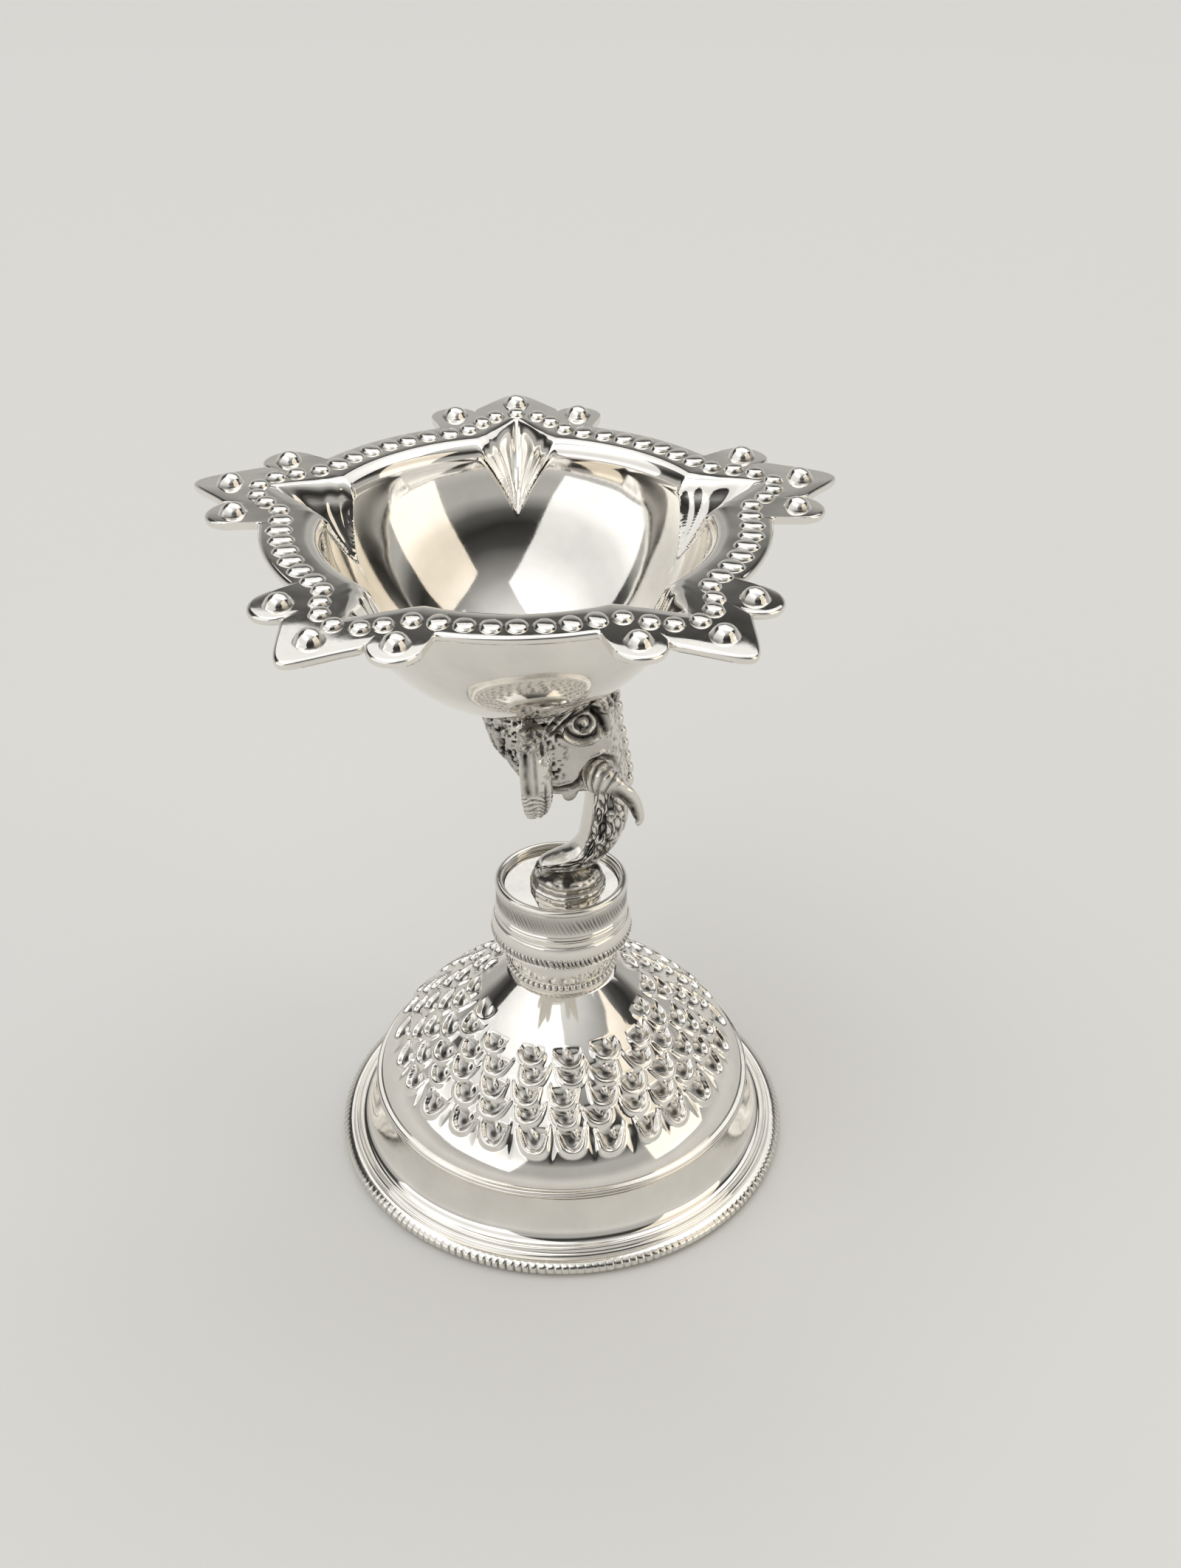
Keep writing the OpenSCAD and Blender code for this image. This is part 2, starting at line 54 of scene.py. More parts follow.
def save_mesh(name, points, quads, tris=(), slot="silver_sheet", replaces=None, patina_and_shade=None,
              crease=40):
    """Makes one piece of points (mm) and faces. Patina is 0 where the silver is bright and 1 where
    it is darkest, which stands for sulphide in recesses and, in places, for painted shade. Edges
    sharper than crease degrees stay crisp under smooth shading."""
    points = np.reshape(points, (-1, 3)) * MM
    quads = np.asarray(quads, np.int32).reshape(-1, 4)
    tris = np.asarray(tris, np.int32).reshape(-1, 3)
    starts = np.concatenate([np.arange(len(quads)) * 4, quads.size + np.arange(len(tris)) * 3])
    mesh = bpy.data.meshes.new(name)
    mesh.vertices.add(len(points))
    mesh.vertices.foreach_set("co", points.ravel())
    mesh.loops.add(quads.size + tris.size)
    mesh.loops.foreach_set("vertex_index", np.concatenate([quads.ravel(), tris.ravel()]))
    mesh.polygons.add(len(starts))
    mesh.polygons.foreach_set("loop_start", starts.astype(np.int32))
    mesh.update(calc_edges=True)
    mesh.validate()
    mesh.shade_smooth()
    mesh.set_sharp_from_angle(angle=np.radians(crease))
    dark = np.zeros(len(points)) if patina_and_shade is None else np.clip(np.ravel(patina_and_shade), 0, 1)
    layer = mesh.attributes.new("patina_and_shade", "FLOAT", "POINT")
    layer.data.foreach_set("value", dark.astype(np.float32))
    mesh.materials.append(SILVER[slot])
    piece = in_scene(name, mesh)
    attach(piece, "root")
    if replaces:
        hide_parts(replaces)


def grid_faces(rows, cols, closed=False):
    """Quads of a stack of rings, rows by cols. Points run anticlockwise round a ring seen from
    above and rings run up, so the faces point outwards. closed joins the last ring to the
    first."""
    i, j = np.meshgrid(np.arange(rows if closed else rows - 1), np.arange(cols), indexing="ij")
    here, above, along = i * cols, (i + 1) % rows * cols, (j + 1) % cols
    return np.stack([here + j, here + along, above + along, above + j], -1).reshape(-1, 4)


def with_ends(values):
    """Each skin's values, ring by ring, and after them the means of its first and last ring."""
    flat = values.reshape(len(values), -1, values.shape[-1])
    return np.concatenate([flat, values[:, :1].mean(2), values[:, -1:].mean(2)], 1)


def skin(name, grid, patina_and_shade=None, **about):
    """A closed skin over a stack of rings, grid[ring, point], or many of them as one piece,
    grid[skin, ring, point]. The two end rings of each are closed by a fan to their middle."""
    grid = grid.reshape(-1, *grid.shape[-3:])
    number, rows, cols = grid.shape[:3]
    j, last = np.arange(cols), (rows - 1) * cols
    k = (j + 1) % cols
    low, top = np.full(cols, rows * cols), np.full(cols, rows * cols + 1)
    fans = np.concatenate([np.stack([low, k, j], -1), np.stack([top, last + j, last + k], -1)])
    shift = (np.arange(number) * (rows * cols + 2))[:, None, None]
    if patina_and_shade is not None:
        patina_and_shade = with_ends(np.reshape(patina_and_shade, (number, rows, cols, 1)))
    save_mesh(name, with_ends(grid), grid_faces(rows, cols) + shift, fans + shift,
              patina_and_shade=patina_and_shade, **about)


def soften(outline, radius, steps=5):
    """A closed outline of (r, z) points with every corner rounded: at a corner the line leaves its
    side one radius before it and bends on a parabola to one radius past it."""
    outline = np.asarray(outline, float)
    to_before, to_after = np.roll(outline, 1, 0) - outline, np.roll(outline, -1, 0) - outline
    before, after = np.linalg.norm(to_before, axis=1), np.linalg.norm(to_after, axis=1)
    reach = np.minimum(radius, 0.45 * np.minimum(before, after))[:, None]
    a = outline + to_before / before[:, None] * reach
    b = outline + to_after / after[:, None] * reach
    t = np.linspace(0, 1, steps)[None, :, None]
    curve = (1 - t) ** 2 * a[:, None] + 2 * t * (1 - t) * outline[:, None] + t ** 2 * b[:, None]
    return curve.reshape(-1, 2)


def run_of(r, z):
    """Length along a line of (r, z) points, up to each of them."""
    return np.concatenate([[0], np.cumsum(np.hypot(np.diff(r), np.diff(z)))])


def finer(outline, step):
    """The same outline with points added, so that no stretch of it is longer than step mm."""
    length = run_of(*outline.T)
    added = np.arange(0, length[-1], step)
    clear = np.abs(added[:, None] - length).min(1) > step / 3
    at = np.unique(np.concatenate([length, added[clear]]))
    return np.stack([np.interp(at, length, values) for values in outline.T], -1)


def arc(r, z, half_wide, half_high, start=-np.pi / 2, end=np.pi / 2, count=15):
    """Points (r, z) on an ellipse round a middle, from one angle to another."""
    a = np.linspace(start, end, count)
    return np.stack([r + half_wide * np.cos(a), z + half_high * np.sin(a)], -1)


def round_turn(count):
    """Angles of count points spaced evenly round a turn."""
    return np.arange(count) / count * TAU


def round_axis(r, z, turn, x=0):
    """Points at radius r, height z and angle turn round an upright axis at x."""
    return np.stack([r * np.cos(turn) + x, r * np.sin(turn), z + 0 * r * turn], -1)


def revolve(outline, cols):
    """Rings of a closed outline (r, z) carried round the Z axis."""
    return round_axis(outline[:, :1], outline[:, 1:], round_turn(cols))


def turned(name, outline, cols=256, relief=None, place=None, **about):
    """A turned piece: a closed outline (r, z), anticlockwise with r to the right, revolved.
    relief(r, z, turn) returns how far each point stands out along its radius, and its patina.
    place(rings) puts the rings where they stand."""
    rings, patina_and_shade = revolve(outline, cols), None
    if relief:
        r, z = outline[:, :1], outline[:, 1:]
        out, dark = relief(r, z, round_turn(cols))
        rings[..., :2] *= (1 + out / np.maximum(r, 0.01))[..., None]
        patina_and_shade = np.broadcast_to(dark, rings.shape[:2])
    if place:
        rings = place(rings)
    save_mesh(name, rings, grid_faces(len(outline), cols, closed=True), patina_and_shade=patina_and_shade, **about)


def bump(x):
    """A smooth hump: 1 at 0, 0 past 1 on both sides, level at the top and at the foot."""
    x = np.clip(np.abs(x), 0, 1)
    return (1 - x * x) ** 2


def bell(x, width):
    """A soft line: 1 at 0, falling off on both sides as a bell of the given width."""
    return np.exp(-(x / width) ** 2)


def ramp(x, a, b):
    """Smoothly from 0 at a to 1 at b."""
    t = np.clip((x - a) / (b - a), 0, 1)
    return t * t * (3 - 2 * t)


def grain(points, size, seed):
    """Smooth lumps from -1 to 1, each about size mm: random heights on a lattice, blended."""
    side = 24
    table = np.random.default_rng(seed).uniform(-1, 1, (side, side, side))
    scaled = points / np.asarray(size, float)
    base = np.floor(scaled).astype(int)
    part = scaled - base
    part = part * part * (3 - 2 * part)
    total = 0.0
    for corner in np.ndindex(2, 2, 2):
        share = np.prod(np.where(corner, part, 1 - part), -1)
        i = (base + np.array(corner)) % side
        total = total + share * table[i[..., 0], i[..., 1], i[..., 2]]
    return total


# Materials

def linear(code):
    """An sRGB hex colour as linear RGBA."""
    rgb = np.array([int(code[i:i + 2], 16) for i in (0, 2, 4)]) / 255
    rgb = np.where(rgb <= 0.04045, rgb / 12.92, ((rgb + 0.055) / 1.055) ** 2.4)
    return (*rgb.tolist(), 1.0)


def empty_tree(owner):
    """The node tree of a material or world, switched on and emptied."""
    owner.use_nodes = True
    owner.node_tree.nodes.clear()
    return owner.node_tree


def node(tree, kind, settings=None, **inputs):
    """Adds one shader node, with its settings, and with its inputs set to a value or linked. An
    input is given by its name, or by its place as _0, _1 and so on. A node stands for its first
    output."""
    made = tree.nodes.new("ShaderNode" + kind)
    for key, value in (settings or {}).items():
        setattr(made, key, value)
    for key, value in inputs.items():
        by_place = key[0] == "_" and key[1:].isdigit()
        socket = made.inputs[int(key[1:]) if by_place else key.replace("_", " ")]
        if isinstance(value, bpy.types.Node):
            value = value.outputs[0]
        if isinstance(value, bpy.types.NodeSocket):
            tree.links.new(value, socket)
        else:
            socket.default_value = value
    return made


def silver(name, bright, dark, rough, rough_dark, wave, wave_mm, scratch):
    """Silver: metallic 1, no paint. A long shallow wave of the hammer and wheel, wave mm deep and
    wave_mm long, bends reflections. Fine scratches of the polish, scratch mm deep, spread them a
    little. The patina attribute leads from bright metal to the dark colour, which stands for the
    sulphide left in the recesses and for painted shade."""
    made = bpy.data.materials.new(name)
    tree = empty_tree(made)
    where = node(tree, "TexCoord").outputs["Object"]
    patina_and_shade = node(tree, "Attribute", {"attribute_name": "patina_and_shade"}).outputs["Fac"]
    cloud = node(tree, "TexNoise", Vector=where, Scale=1 / (4 * MM), Detail=3.0, Roughness=0.55)
    tarnish = node(tree, "MapRange", Value=cloud, From_Min=0.3, From_Max=0.75, To_Max=0.12)
    # The darkening mixes sulphide with painted shade, both read from the patina attribute
    sulphide_and_shade = node(tree, "Math", {"operation": "ADD", "use_clamp": True}, _0=patina_and_shade, _1=tarnish)
    colour = node(tree, "Mix", {"data_type": "RGBA"}, _0=sulphide_and_shade, _6=linear(bright),
                  _7=linear(dark))
    fine = node(tree, "TexNoise", Vector=where, Scale=1 / (0.5 * MM), Detail=4.0, Roughness=0.6)
    haze = node(tree, "MapRange", Value=fine, From_Min=0.35, From_Max=0.7, To_Min=rough * 0.8,
                To_Max=rough * 1.5)
    rougher = node(tree, "MapRange", Value=patina_and_shade, To_Max=rough_dark - rough)
    roughness = node(tree, "Math", {"operation": "ADD", "use_clamp": True}, _0=haze, _1=rougher)
    wheel = node(tree, "TexNoise", Vector=where, Scale=1 / (wave_mm * MM), Detail=1.0,
                 Roughness=0.4)
    swell = node(tree, "Bump", Distance=wave * MM, Height=wheel)
    lines = node(tree, "TexNoise", Vector=where, Scale=1 / (0.16 * MM), Detail=2.0)
    scratches = node(tree, "Bump", Distance=scratch * MM, Height=lines, Normal=swell)
    shader = node(tree, "BsdfPrincipled", Metallic=1.0, Base_Color=colour.outputs[2],
                  Roughness=roughness, Normal=scratches)
    node(tree, "OutputMaterial", Surface=shader)
    return made


SILVER = {
    # Sheet raised over stakes and buffed with rouge: a mirror with slow waves in it.
    "silver_sheet": silver("silver_mirror_polished", bright="F3F0EA", dark="3A3632", rough=0.06,
                           rough_dark=0.35, wave=0.05, wave_mm=5.0, scratch=0.0006),
    # Drawn wire, polished in place: as bright, with a little more haze between the mill marks.
    "silver_wire": silver("silver_wire_polished", bright="EDEAE3", dark="37332F", rough=0.12,
                          rough_dark=0.4, wave=0.02, wave_mm=2.0, scratch=0.001),
    # Investment casting, tumbled and left dark in its recesses: a broken, sparkling shine.
    "silver_cast": silver("silver_cast_oxidised", bright="E9E6DF", dark="23211F", rough=0.16,
                          rough_dark=0.45, wave=0.06, wave_mm=1.1, scratch=0.004),
}

# The foot. Radii and heights are in mm, from the middle of the foot's underside
RIM_R, LIP_R, RIM_H, MILL_MARKS = 22.6, 21.5, 1.5, 190
COVE_R, COVE_Z, SKIRT_R, SKIRT_Z, SKIRT_WALL = 20.45, 1.92, 18.9, 6.5, 0.9
RIDGE_R, SEAT_R = 0.2, 17.6
DOME_R, DOME_Z, DOME_H, DOME_FULLNESS = 18.4, 7.3, 12.7, 1.45
DOME_TOP_R, NECK_Z, BORE_R = 5.25, 20.0, 4.4


def milled(r, z, turn):
    """The mill marks across the outer face of the wire: rounded teeth 0.75 mm apart, deepest
    where the wire stands out furthest, with dark metal left between them."""
    outside = ramp(r, LIP_R + 0.5, RIM_R - 0.1)
    wobble = 0.3 * np.sin(turn * 17) + 0.25 * np.sin(turn * 41 + 1) + 0.5 * z
    wave = np.abs(np.sin(turn * MILL_MARKS / 2 + wobble))
    worn = 0.55 + 0.45 * np.sin(turn * 3 + 0.6) * np.sin(turn * 7 + 2)
    cut = outside * bell(wave, 0.36) * worn
    return -0.22 * cut, 0.75 * cut


turned("milled_rim", np.concatenate([
    arc(LIP_R, RIM_H / 2, RIM_R - LIP_R, RIM_H / 2),
    [[LIP_R - 0.1, RIM_H - 0.1], [LIP_R - 0.1, 0.05]]]),
    cols=1520, relief=milled, slot="silver_wire", replaces="foot_rim_wire", crease=60)


def cove(inset):
    """The hollow sweep of the skirt, so far in from its outer face: a quarter of an ellipse."""
    a = np.linspace(0, np.pi / 2, 22)
    return np.stack([COVE_R - (COVE_R - SKIRT_R + inset) * np.sin(a),
                     SKIRT_Z - (SKIRT_Z - COVE_Z + inset) * np.cos(a)], -1)


moulding = soften([[LIP_R - SKIRT_WALL, 0], [LIP_R, 0], [LIP_R, 1.5], [21.33, 1.72],
                   [21.22, 1.55], [21.0, 1.72], [20.92, 1.98], [20.78, 2.08], [20.7, 1.9],
                   [20.55, 1.9]], 0.09, 4)[4:]
turned("spun_skirt", np.concatenate([
    moulding, cove(0), cove(SKIRT_WALL)[::-1], [[LIP_R - SKIRT_WALL, 0]]]),
    cols=360, replaces="foot_flange")

ridge_r = SKIRT_R - RIDGE_R
turned("dome_ridges", np.concatenate([
    [[SEAT_R, SKIRT_Z]], arc(ridge_r, SKIRT_Z + RIDGE_R, RIDGE_R, RIDGE_R, count=9),
    arc(ridge_r, SKIRT_Z + 3 * RIDGE_R, RIDGE_R, RIDGE_R, count=9)[1:], [[SEAT_R, DOME_Z]]]),
    cols=320, slot="silver_wire", replaces="dome_ring", crease=60)

# The dome's rows of scales from the foot up: share of the height at the lower edge of a scale,
# count of scales round the dome, share of a scale by which the row is turned, and the height in
# mm of the round part of its U.
SCALE_ROWS = [(0.212, 27, 0.41, 1.45), (0.368, 26, 0.36, 1.1), (0.463, 23, 0.62, 1.1),
              (0.569, 20, 0.72, 1.1), (0.662, 17, 0.01, 1.05), (0.757, 15, 0.2, 1.0),
              (0.85, 13, 0.6, 1.0)]


def dome_at(t):
    """Radius and height of the dome at a share t of its height."""
    return DOME_TOP_R + (DOME_R - DOME_TOP_R) * (1 - t ** DOME_FULLNESS), DOME_Z + DOME_H * t


def scales(t, s, turn):
    """Chased scales that lap like feathers. Each is a rounded ribbon bent to an open U, thick at
    its foot, round a hollow like the bowl of a spoon, and its arms flare until the next row laps
    over them. A teardrop knob hangs into the hollow, with a dark patch below it that is painted
    shade and painted dark reflection. No two punches fall quite alike. Returns the relief in mm and
    the patina, which over the hollows is painted shade. t is the share of the dome's height and s
    the length along its outline."""
    relief = np.zeros(np.broadcast(t, turn).shape)
    bed = np.zeros_like(relief)
    front = np.cos(turn + np.pi / 2)
    # The last rows stop short of the front, where the top of the dome is plain
    shows = [1.0] * 5 + [1 - ramp(front, 0.35, 0.75), 1 - ramp(front, -0.35, 0.05), 0.0]
    for row, (t_foot, count, phase, tall) in enumerate(SCALE_ROWS):
        s_foot = np.interp(t_foot, t[:, 0], s[:, 0])
        pitch = TAU * dome_at(t_foot + 0.05)[0] / count
        u = turn / TAU * count + phase
        k = np.round(u)
        size = 1 + 0.07 * np.sin(7.3 * k + 3.1 * row)
        up = (s - s_foot - 0.14 * np.sin(3.9 * k + 2.3 * row + 1)) / size
        across = ((u - k) * pitch + 0.2 * np.sin(2.4 * k + 1.7 * row)) / size
        across = across + 0.16 * (up - 1) * np.sin(5.1 * k + row)
        half = 1.17 + 0.38 * ramp(up, tall - 0.2, tall + 1.5)
        below = np.minimum(up - 0.35 - tall, 0) / tall
        around = np.hypot(across / half, below)
        radius = tall + (half - tall) * np.abs(across / half).clip(0, 1)
        off = (around - 1) * np.where(below < 0, radius, half)
        show, above = shows[row], shows[row + 1]
        thick = 0.3 + 0.14 * np.clip(-below, 0, 1) - 0.1 * ramp(up, tall, tall + 1.5)
        ribbon = np.where(off > 0, bump(off / (thick * 1.25)), bump(off / (thick * 0.95)))
        ribbon = ribbon * (1 - ramp(up, tall + 0.9, tall + 1.9))
        ribbon = ribbon * (1 - (1 - above) * ramp(up, tall - 0.1, tall + 0.7))
        inside = ramp(-off, 0, thick)
        hollow = inside * (1 - np.minimum(around, 1) ** 2) ** 0.5
        hollow = hollow * (1 - ramp(up, tall + 0.5, tall + 1.5))
        swing = 0.25 * np.sin(4.3 * k + 2.9 * row)
        x, y = across - 0.32 - swing, up - 0.4 - tall
        knob = bump(np.hypot(x * 0.9 + 0.3 * y, y * 0.62 - 0.12) / 0.42) * inside
        lip = bell(off + 0.62, 0.16) * np.clip(-below * 1.4, 0, 1) * inside
        mark = 0.24 * ribbon - 0.32 * hollow + 0.4 * knob + 0.05 * lip
        cover = (1 - ramp(off, thick * 0.8, thick * 1.5)) * show
        cover = cover * (1 - ramp(up, tall + 0.7, tall + 1.4))
        proud = show * (mark > 0) * (relief < mark)
        relief = relief * (1 - cover) + mark * np.maximum(cover, proud)
        # Painted shade: a dark crescent low in each hollow and a grey over the hollow stand for the
        # shade and dark reflections there, and the knob and lip stay bright
        shaded_crescent = bell(np.hypot(across / half, below + 0.36), 0.5) * inside
        shade = np.maximum(1.6 * shaded_crescent - 0.3, 0.9 * hollow - 0.3) - 0.9 * knob - 0.5 * lip
        bed = bed * (1 - cover) + 0.9 * np.clip(shade, 0, 1) * cover
        if row == 0:
            gap = (np.abs(u - k) - 0.5) * pitch
            wedge = bell(gap, 0.1 + 0.26 * ramp(up, -0.6, 1.4)) * bump((up - 0.9) / 1.5)
            relief = relief - 0.13 * wedge
            bed = np.maximum(bed, 0.3 * wedge)
    return relief, bed


def scaled_dome():
    """The dome: its outline revolved, each point moved along the outline's normal by the relief
    of the scales, and a plain inner face below it."""
    cols = 740
    t = np.concatenate([np.linspace(0, 0.16, 8)[:-1], np.linspace(0.16, 0.96, 112),
                        np.linspace(0.96, 1, 4)[1:]])
    r, z = dome_at(t)
    s = run_of(r, z)
    turn = round_turn(cols)
    relief, bed = scales(t[:, None], s[:, None], turn)
    reach = r[:, None] + np.gradient(z, s)[:, None] * relief
    height = z[:, None] - np.gradient(r, s)[:, None] * relief
    outside = round_axis(reach, height, turn)
    inner_r, inner_z = dome_at(np.linspace(0.97, 0.02, 9))
    inside = revolve(np.concatenate([
        [[BORE_R, NECK_Z], [BORE_R, NECK_Z - 0.4]],
        np.stack([inner_r - 0.62, inner_z - 0.5], -1), [[SEAT_R, DOME_Z]]]), cols)
    rings = np.concatenate([outside, inside])
    patina_and_shade = np.concatenate([bed, np.zeros(inside.shape[:2])])
    save_mesh("scaled_dome", rings, grid_faces(len(rings), cols, closed=True), patina_and_shade=patina_and_shade,
              replaces="dome_shell", crease=75)


scaled_dome()

# Neck, collar and cap
NECK_R, COLLAR_Z, SEAM_Z, CAP_TOP, BUTTON_X, BUTTON_Z = 5.2, 24.2, 26.6, 29.6, 0.6, 31.6
NECK_DOTS, COLLAR_CUTS, CAP_LINES = 56, 92, 104

turned("neck_tube", soften([
    [BORE_R, NECK_Z], [NECK_R, NECK_Z], [NECK_R, 23.5], [5.32, 23.7], [5.32, 24.0],
    [NECK_R, COLLAR_Z], [BORE_R, COLLAR_Z]], 0.12), cols=240, replaces="neck_sleeve")


def neck_dots(r, z, turn):
    """Tiny dots on the wire round the neck."""
    pearl = np.abs(np.cos(turn * NECK_DOTS / 2)) ** 0.7
    outside = ramp(r, NECK_R, NECK_R + 0.3)
    return 0.2 * (pearl - 1) * outside, 0.7 * (1 - pearl) * outside


turned("neck_dots", arc(NECK_R, 20.9, 0.35, 0.35), cols=672, relief=neck_dots,
       slot="silver_wire", replaces="neck_beading", crease=75)


def collar_hatching(r, z, turn):
    """Slanting cuts round the lower edge of the collar, uneven, below a plain belly, and a dark
    seam over its step."""
    band = bump((z - 24.88) / 0.5) ** 0.35 * (r > 6.3)
    lean = turn * COLLAR_CUTS / 2 + (z - COLLAR_Z) * 2.4
    lean = lean + 0.9 * np.sin(turn * 9) + 0.4 * np.sin(turn * 31 + z * 3)
    cut = bell(np.sin(lean), 0.5)
    seam = bump((z - 24.13) / 0.1) * (r > 5.9)
    return -0.17 * band * cut, np.maximum((0.3 + 0.7 * cut) * band, 0.7 * seam)


# The collar swells towards its foot, where a hatched roll ends in a thin bright edge over a step
turned("collar", finer(soften([
    [BORE_R, 23.72], [6.06, 23.72], [6.22, 23.78], [6.24, 23.9], [6.14, 24.0], [6.12, 24.14],
    [6.55, 24.2], [6.7, 24.3], [6.68, 24.42], [6.62, 24.47], [6.8, 24.7], [6.86, 24.95],
    [6.8, 25.2], [6.7, 25.32], [6.74, 25.5], [6.76, 25.8], [6.7, 26.15], [6.6, 26.42],
    [6.5, SEAM_Z], [BORE_R, SEAM_Z]], 0.1, 3), 0.16),
    cols=768, relief=collar_hatching, replaces="collar_ring")


def cap_hatching(r, z, turn):
    """Slanting lines scribed round the drum, fading in and out over a band that the polish leaves
    dull."""
    band = bump((z - 28.98) / 1.12) ** 0.3 * (r > 6.2)
    lean = turn * CAP_LINES / 2 + (z - SEAM_Z) * 4.6
    lean = lean + 1.2 * np.sin(turn * 7) + 0.5 * np.sin(turn * 23 + z * 2)
    fade = (0.75 + 0.25 * np.sin(turn * 5 + 1)) * bump((z - 28.65) / 0.9) ** 0.4
    cut = bell(np.sin(lean), 0.45) * fade
    return -0.14 * band * cut, (0.36 + 0.64 * cut) * band


def lean_back(rings):
    """The drum's top edge, with the wire on it, was soldered a little out of level: it drops by
    0.04 mm to a mm towards the back."""
    rings[..., 2] -= 0.04 * rings[..., 1] * ramp(rings[..., 2], 28.4, 29.8)
    return rings


turned("cap_drum_hatched", finer(soften([
    [BORE_R, SEAM_Z], [6.38, SEAM_Z], [6.3, 26.72], [6.27, 26.98], [6.33, 27.14], [6.44, 27.26],
    [6.45, 27.36], [6.35, 27.46], [6.42, 27.58], [6.42, 27.68], [6.31, 27.84], [6.29, 28.2],
    [6.31, 29.7], [6.28, 29.84], [5.512, 29.84], [5.512, 29.0], [4.762, 29.0], [4.762, 28.1],
    [BORE_R, 28.1]], 0.06, 3), 0.18),
    cols=832, relief=cap_hatching, place=lean_back, replaces="cap_drum")

turned("cap_wire", arc(5.97, 30.12, 0.41, 0.39, -1.1, np.pi + 1.1, 24), place=lean_back,
       slot="silver_wire", replaces="cap_rim_wire", crease=60)

# Rings of the cap's plate: radius, height, and how far off the lamp's axis. Its hole lies round the
# rivet, which stands off that axis with the trunk
PLATE_RINGS = [(1.25, 29.0, BUTTON_X), (5.46, 29.0, 0), (5.46, CAP_TOP - 0.04, 0),
               (5.42, CAP_TOP, 0), (3.3, CAP_TOP, 0.4), (1.25, CAP_TOP, BUTTON_X)]
plate = np.stack([round_axis(r, z, round_turn(192), x) for r, z, x in PLATE_RINGS])
save_mesh("cap_mirror", plate, grid_faces(*plate.shape[:2], closed=True), replaces="cap_plate",
          crease=30)


def button_marks(r, z, turn):
    """File marks left round the two tiers of the button, and sulphide in patches on its top, where
    the trunk keeps the polishing cloth away."""
    low = np.sin(turn * 7 + 1) * 0.04 + np.sin(turn * 19) * 0.025
    place = round_axis(r, z, turn)
    patches = ramp(grain(place, 0.7, 31) + 0.5 * grain(place, 0.3, 32), -0.25, 0.35)
    patches = patches * ramp(z, 31.0, 31.4)
    step = bump((z - 30.42) / 0.16) * (r > 3)
    return low * (z > CAP_TOP + 0.1) * (r > 1.5), np.maximum(0.5 * step, 0.9 * patches)


turned("button", soften([
    [0.001, 28.5], [1.9, 28.5], [1.9, 29.0], [1.2, 29.0], [1.2, CAP_TOP], [3.6, CAP_TOP],
    [3.6, 30.1], [3.42, 30.35], [3.2, 30.42], [3.25, 30.9], [3.15, 31.3], [2.85, BUTTON_Z],
    [0.001, BUTTON_Z]], 0.12), cols=220, relief=button_marks,
    place=lambda rings: rings + [BUTTON_X, 0, 0], slot="silver_cast", replaces="trunk_boss")

# The bowl: one raised sheet of wall, rolled edge, flange, five spouts and five tabs
BOWL_X, BOWL_TURN = -3.65, np.radians(20.3)
BOWL_R, BOWL_DEPTH, WALL, ROLL, ROLL_Z, RIM_Z = 17.2, 15.9, 0.7, 1.6, 66.0892, 67.6892
BOWL_POWER_R, BOWL_POWER_Z = 2.2, 1.35
FLANGE_R, TAB_R, TAB_ROOT_R, TAB_DROOP = 21.7, 30.0, 25.1, 0.4
LEAF_TURN, LEAF_BLUNT = np.radians(9), np.radians(2.2)
LOBE_R, LOBE_AT, LOBE_TURN = 2.2, 24.4, np.radians(14.04)
SPOUT_R, SPOUT_FOOT_R, SPOUT_H, SPOUT_TURN = 22.3, 15.05, 6.3, np.radians(12.5)
SECTOR = TAU / 5


def tab_edge(turn):
    """Radius of the flange's edge at an angle from a spout's axis: a circle, or the round lobe,
    or the leaf, whose sides draw in along a hollow curve to a blunt tip, whichever reaches
    furthest."""
    a = np.abs(turn)
    share = np.clip(1 - (np.hypot(a, LEAF_BLUNT) - LEAF_BLUNT) / LEAF_TURN, 0, 1)
    leaf = np.where(a < LEAF_TURN, TAB_ROOT_R + (TAB_R - TAB_ROOT_R) * share ** 1.5, 0)
    side = LOBE_AT * np.sin(a - LOBE_TURN)
    across = np.sqrt(np.maximum(LOBE_R ** 2 - side ** 2, 0))
    lobe = np.where(np.abs(side) < LOBE_R, LOBE_AT * np.cos(a - LOBE_TURN) + across, 0)
    return np.maximum(np.maximum(leaf, lobe), FLANGE_R)


def flange_outline(count):
    """Radius and angle of points spaced evenly along the flange's edge, count to each fifth of
    it, with corners rounded by averaging each point with its neighbours."""
    turn = np.linspace(-SECTOR / 2, SECTOR / 2, 4001)
    r = tab_edge(turn)
    x, y = r * np.cos(turn), r * np.sin(turn)
    length = run_of(x, y)
    even = (np.arange(count) + 0.5) / count * length[-1]
    one = np.interp(even, length, x) + 1j * np.interp(even, length, y)
    whole = (one[None] * np.exp(1j * SECTOR * np.arange(5))[:, None]).ravel()
    for _ in range(3):
        whole = 0.5 * whole + 0.25 * (np.roll(whole, 1) + np.roll(whole, -1))
    return np.abs(whole), np.unwrap(np.angle(whole))


EDGE_R, EDGE_TURN = flange_outline(190)
AXIS_TURN = (EDGE_TURN + SECTOR / 2) % SECTOR - SECTOR / 2


def wall_at(step, inset):
    """Radius and height of the bowl's wall, so far in from its outer face: a superellipse, full
    at the sides and flat below. step is 90 degrees at the roll and 0 at the middle of the floor."""
    a = np.radians(step)
    return ((BOWL_R - inset) * np.sin(a) ** (2 / BOWL_POWER_R),
            ROLL_Z - (BOWL_DEPTH - inset) * np.cos(a).clip(0) ** (2 / BOWL_POWER_Z))


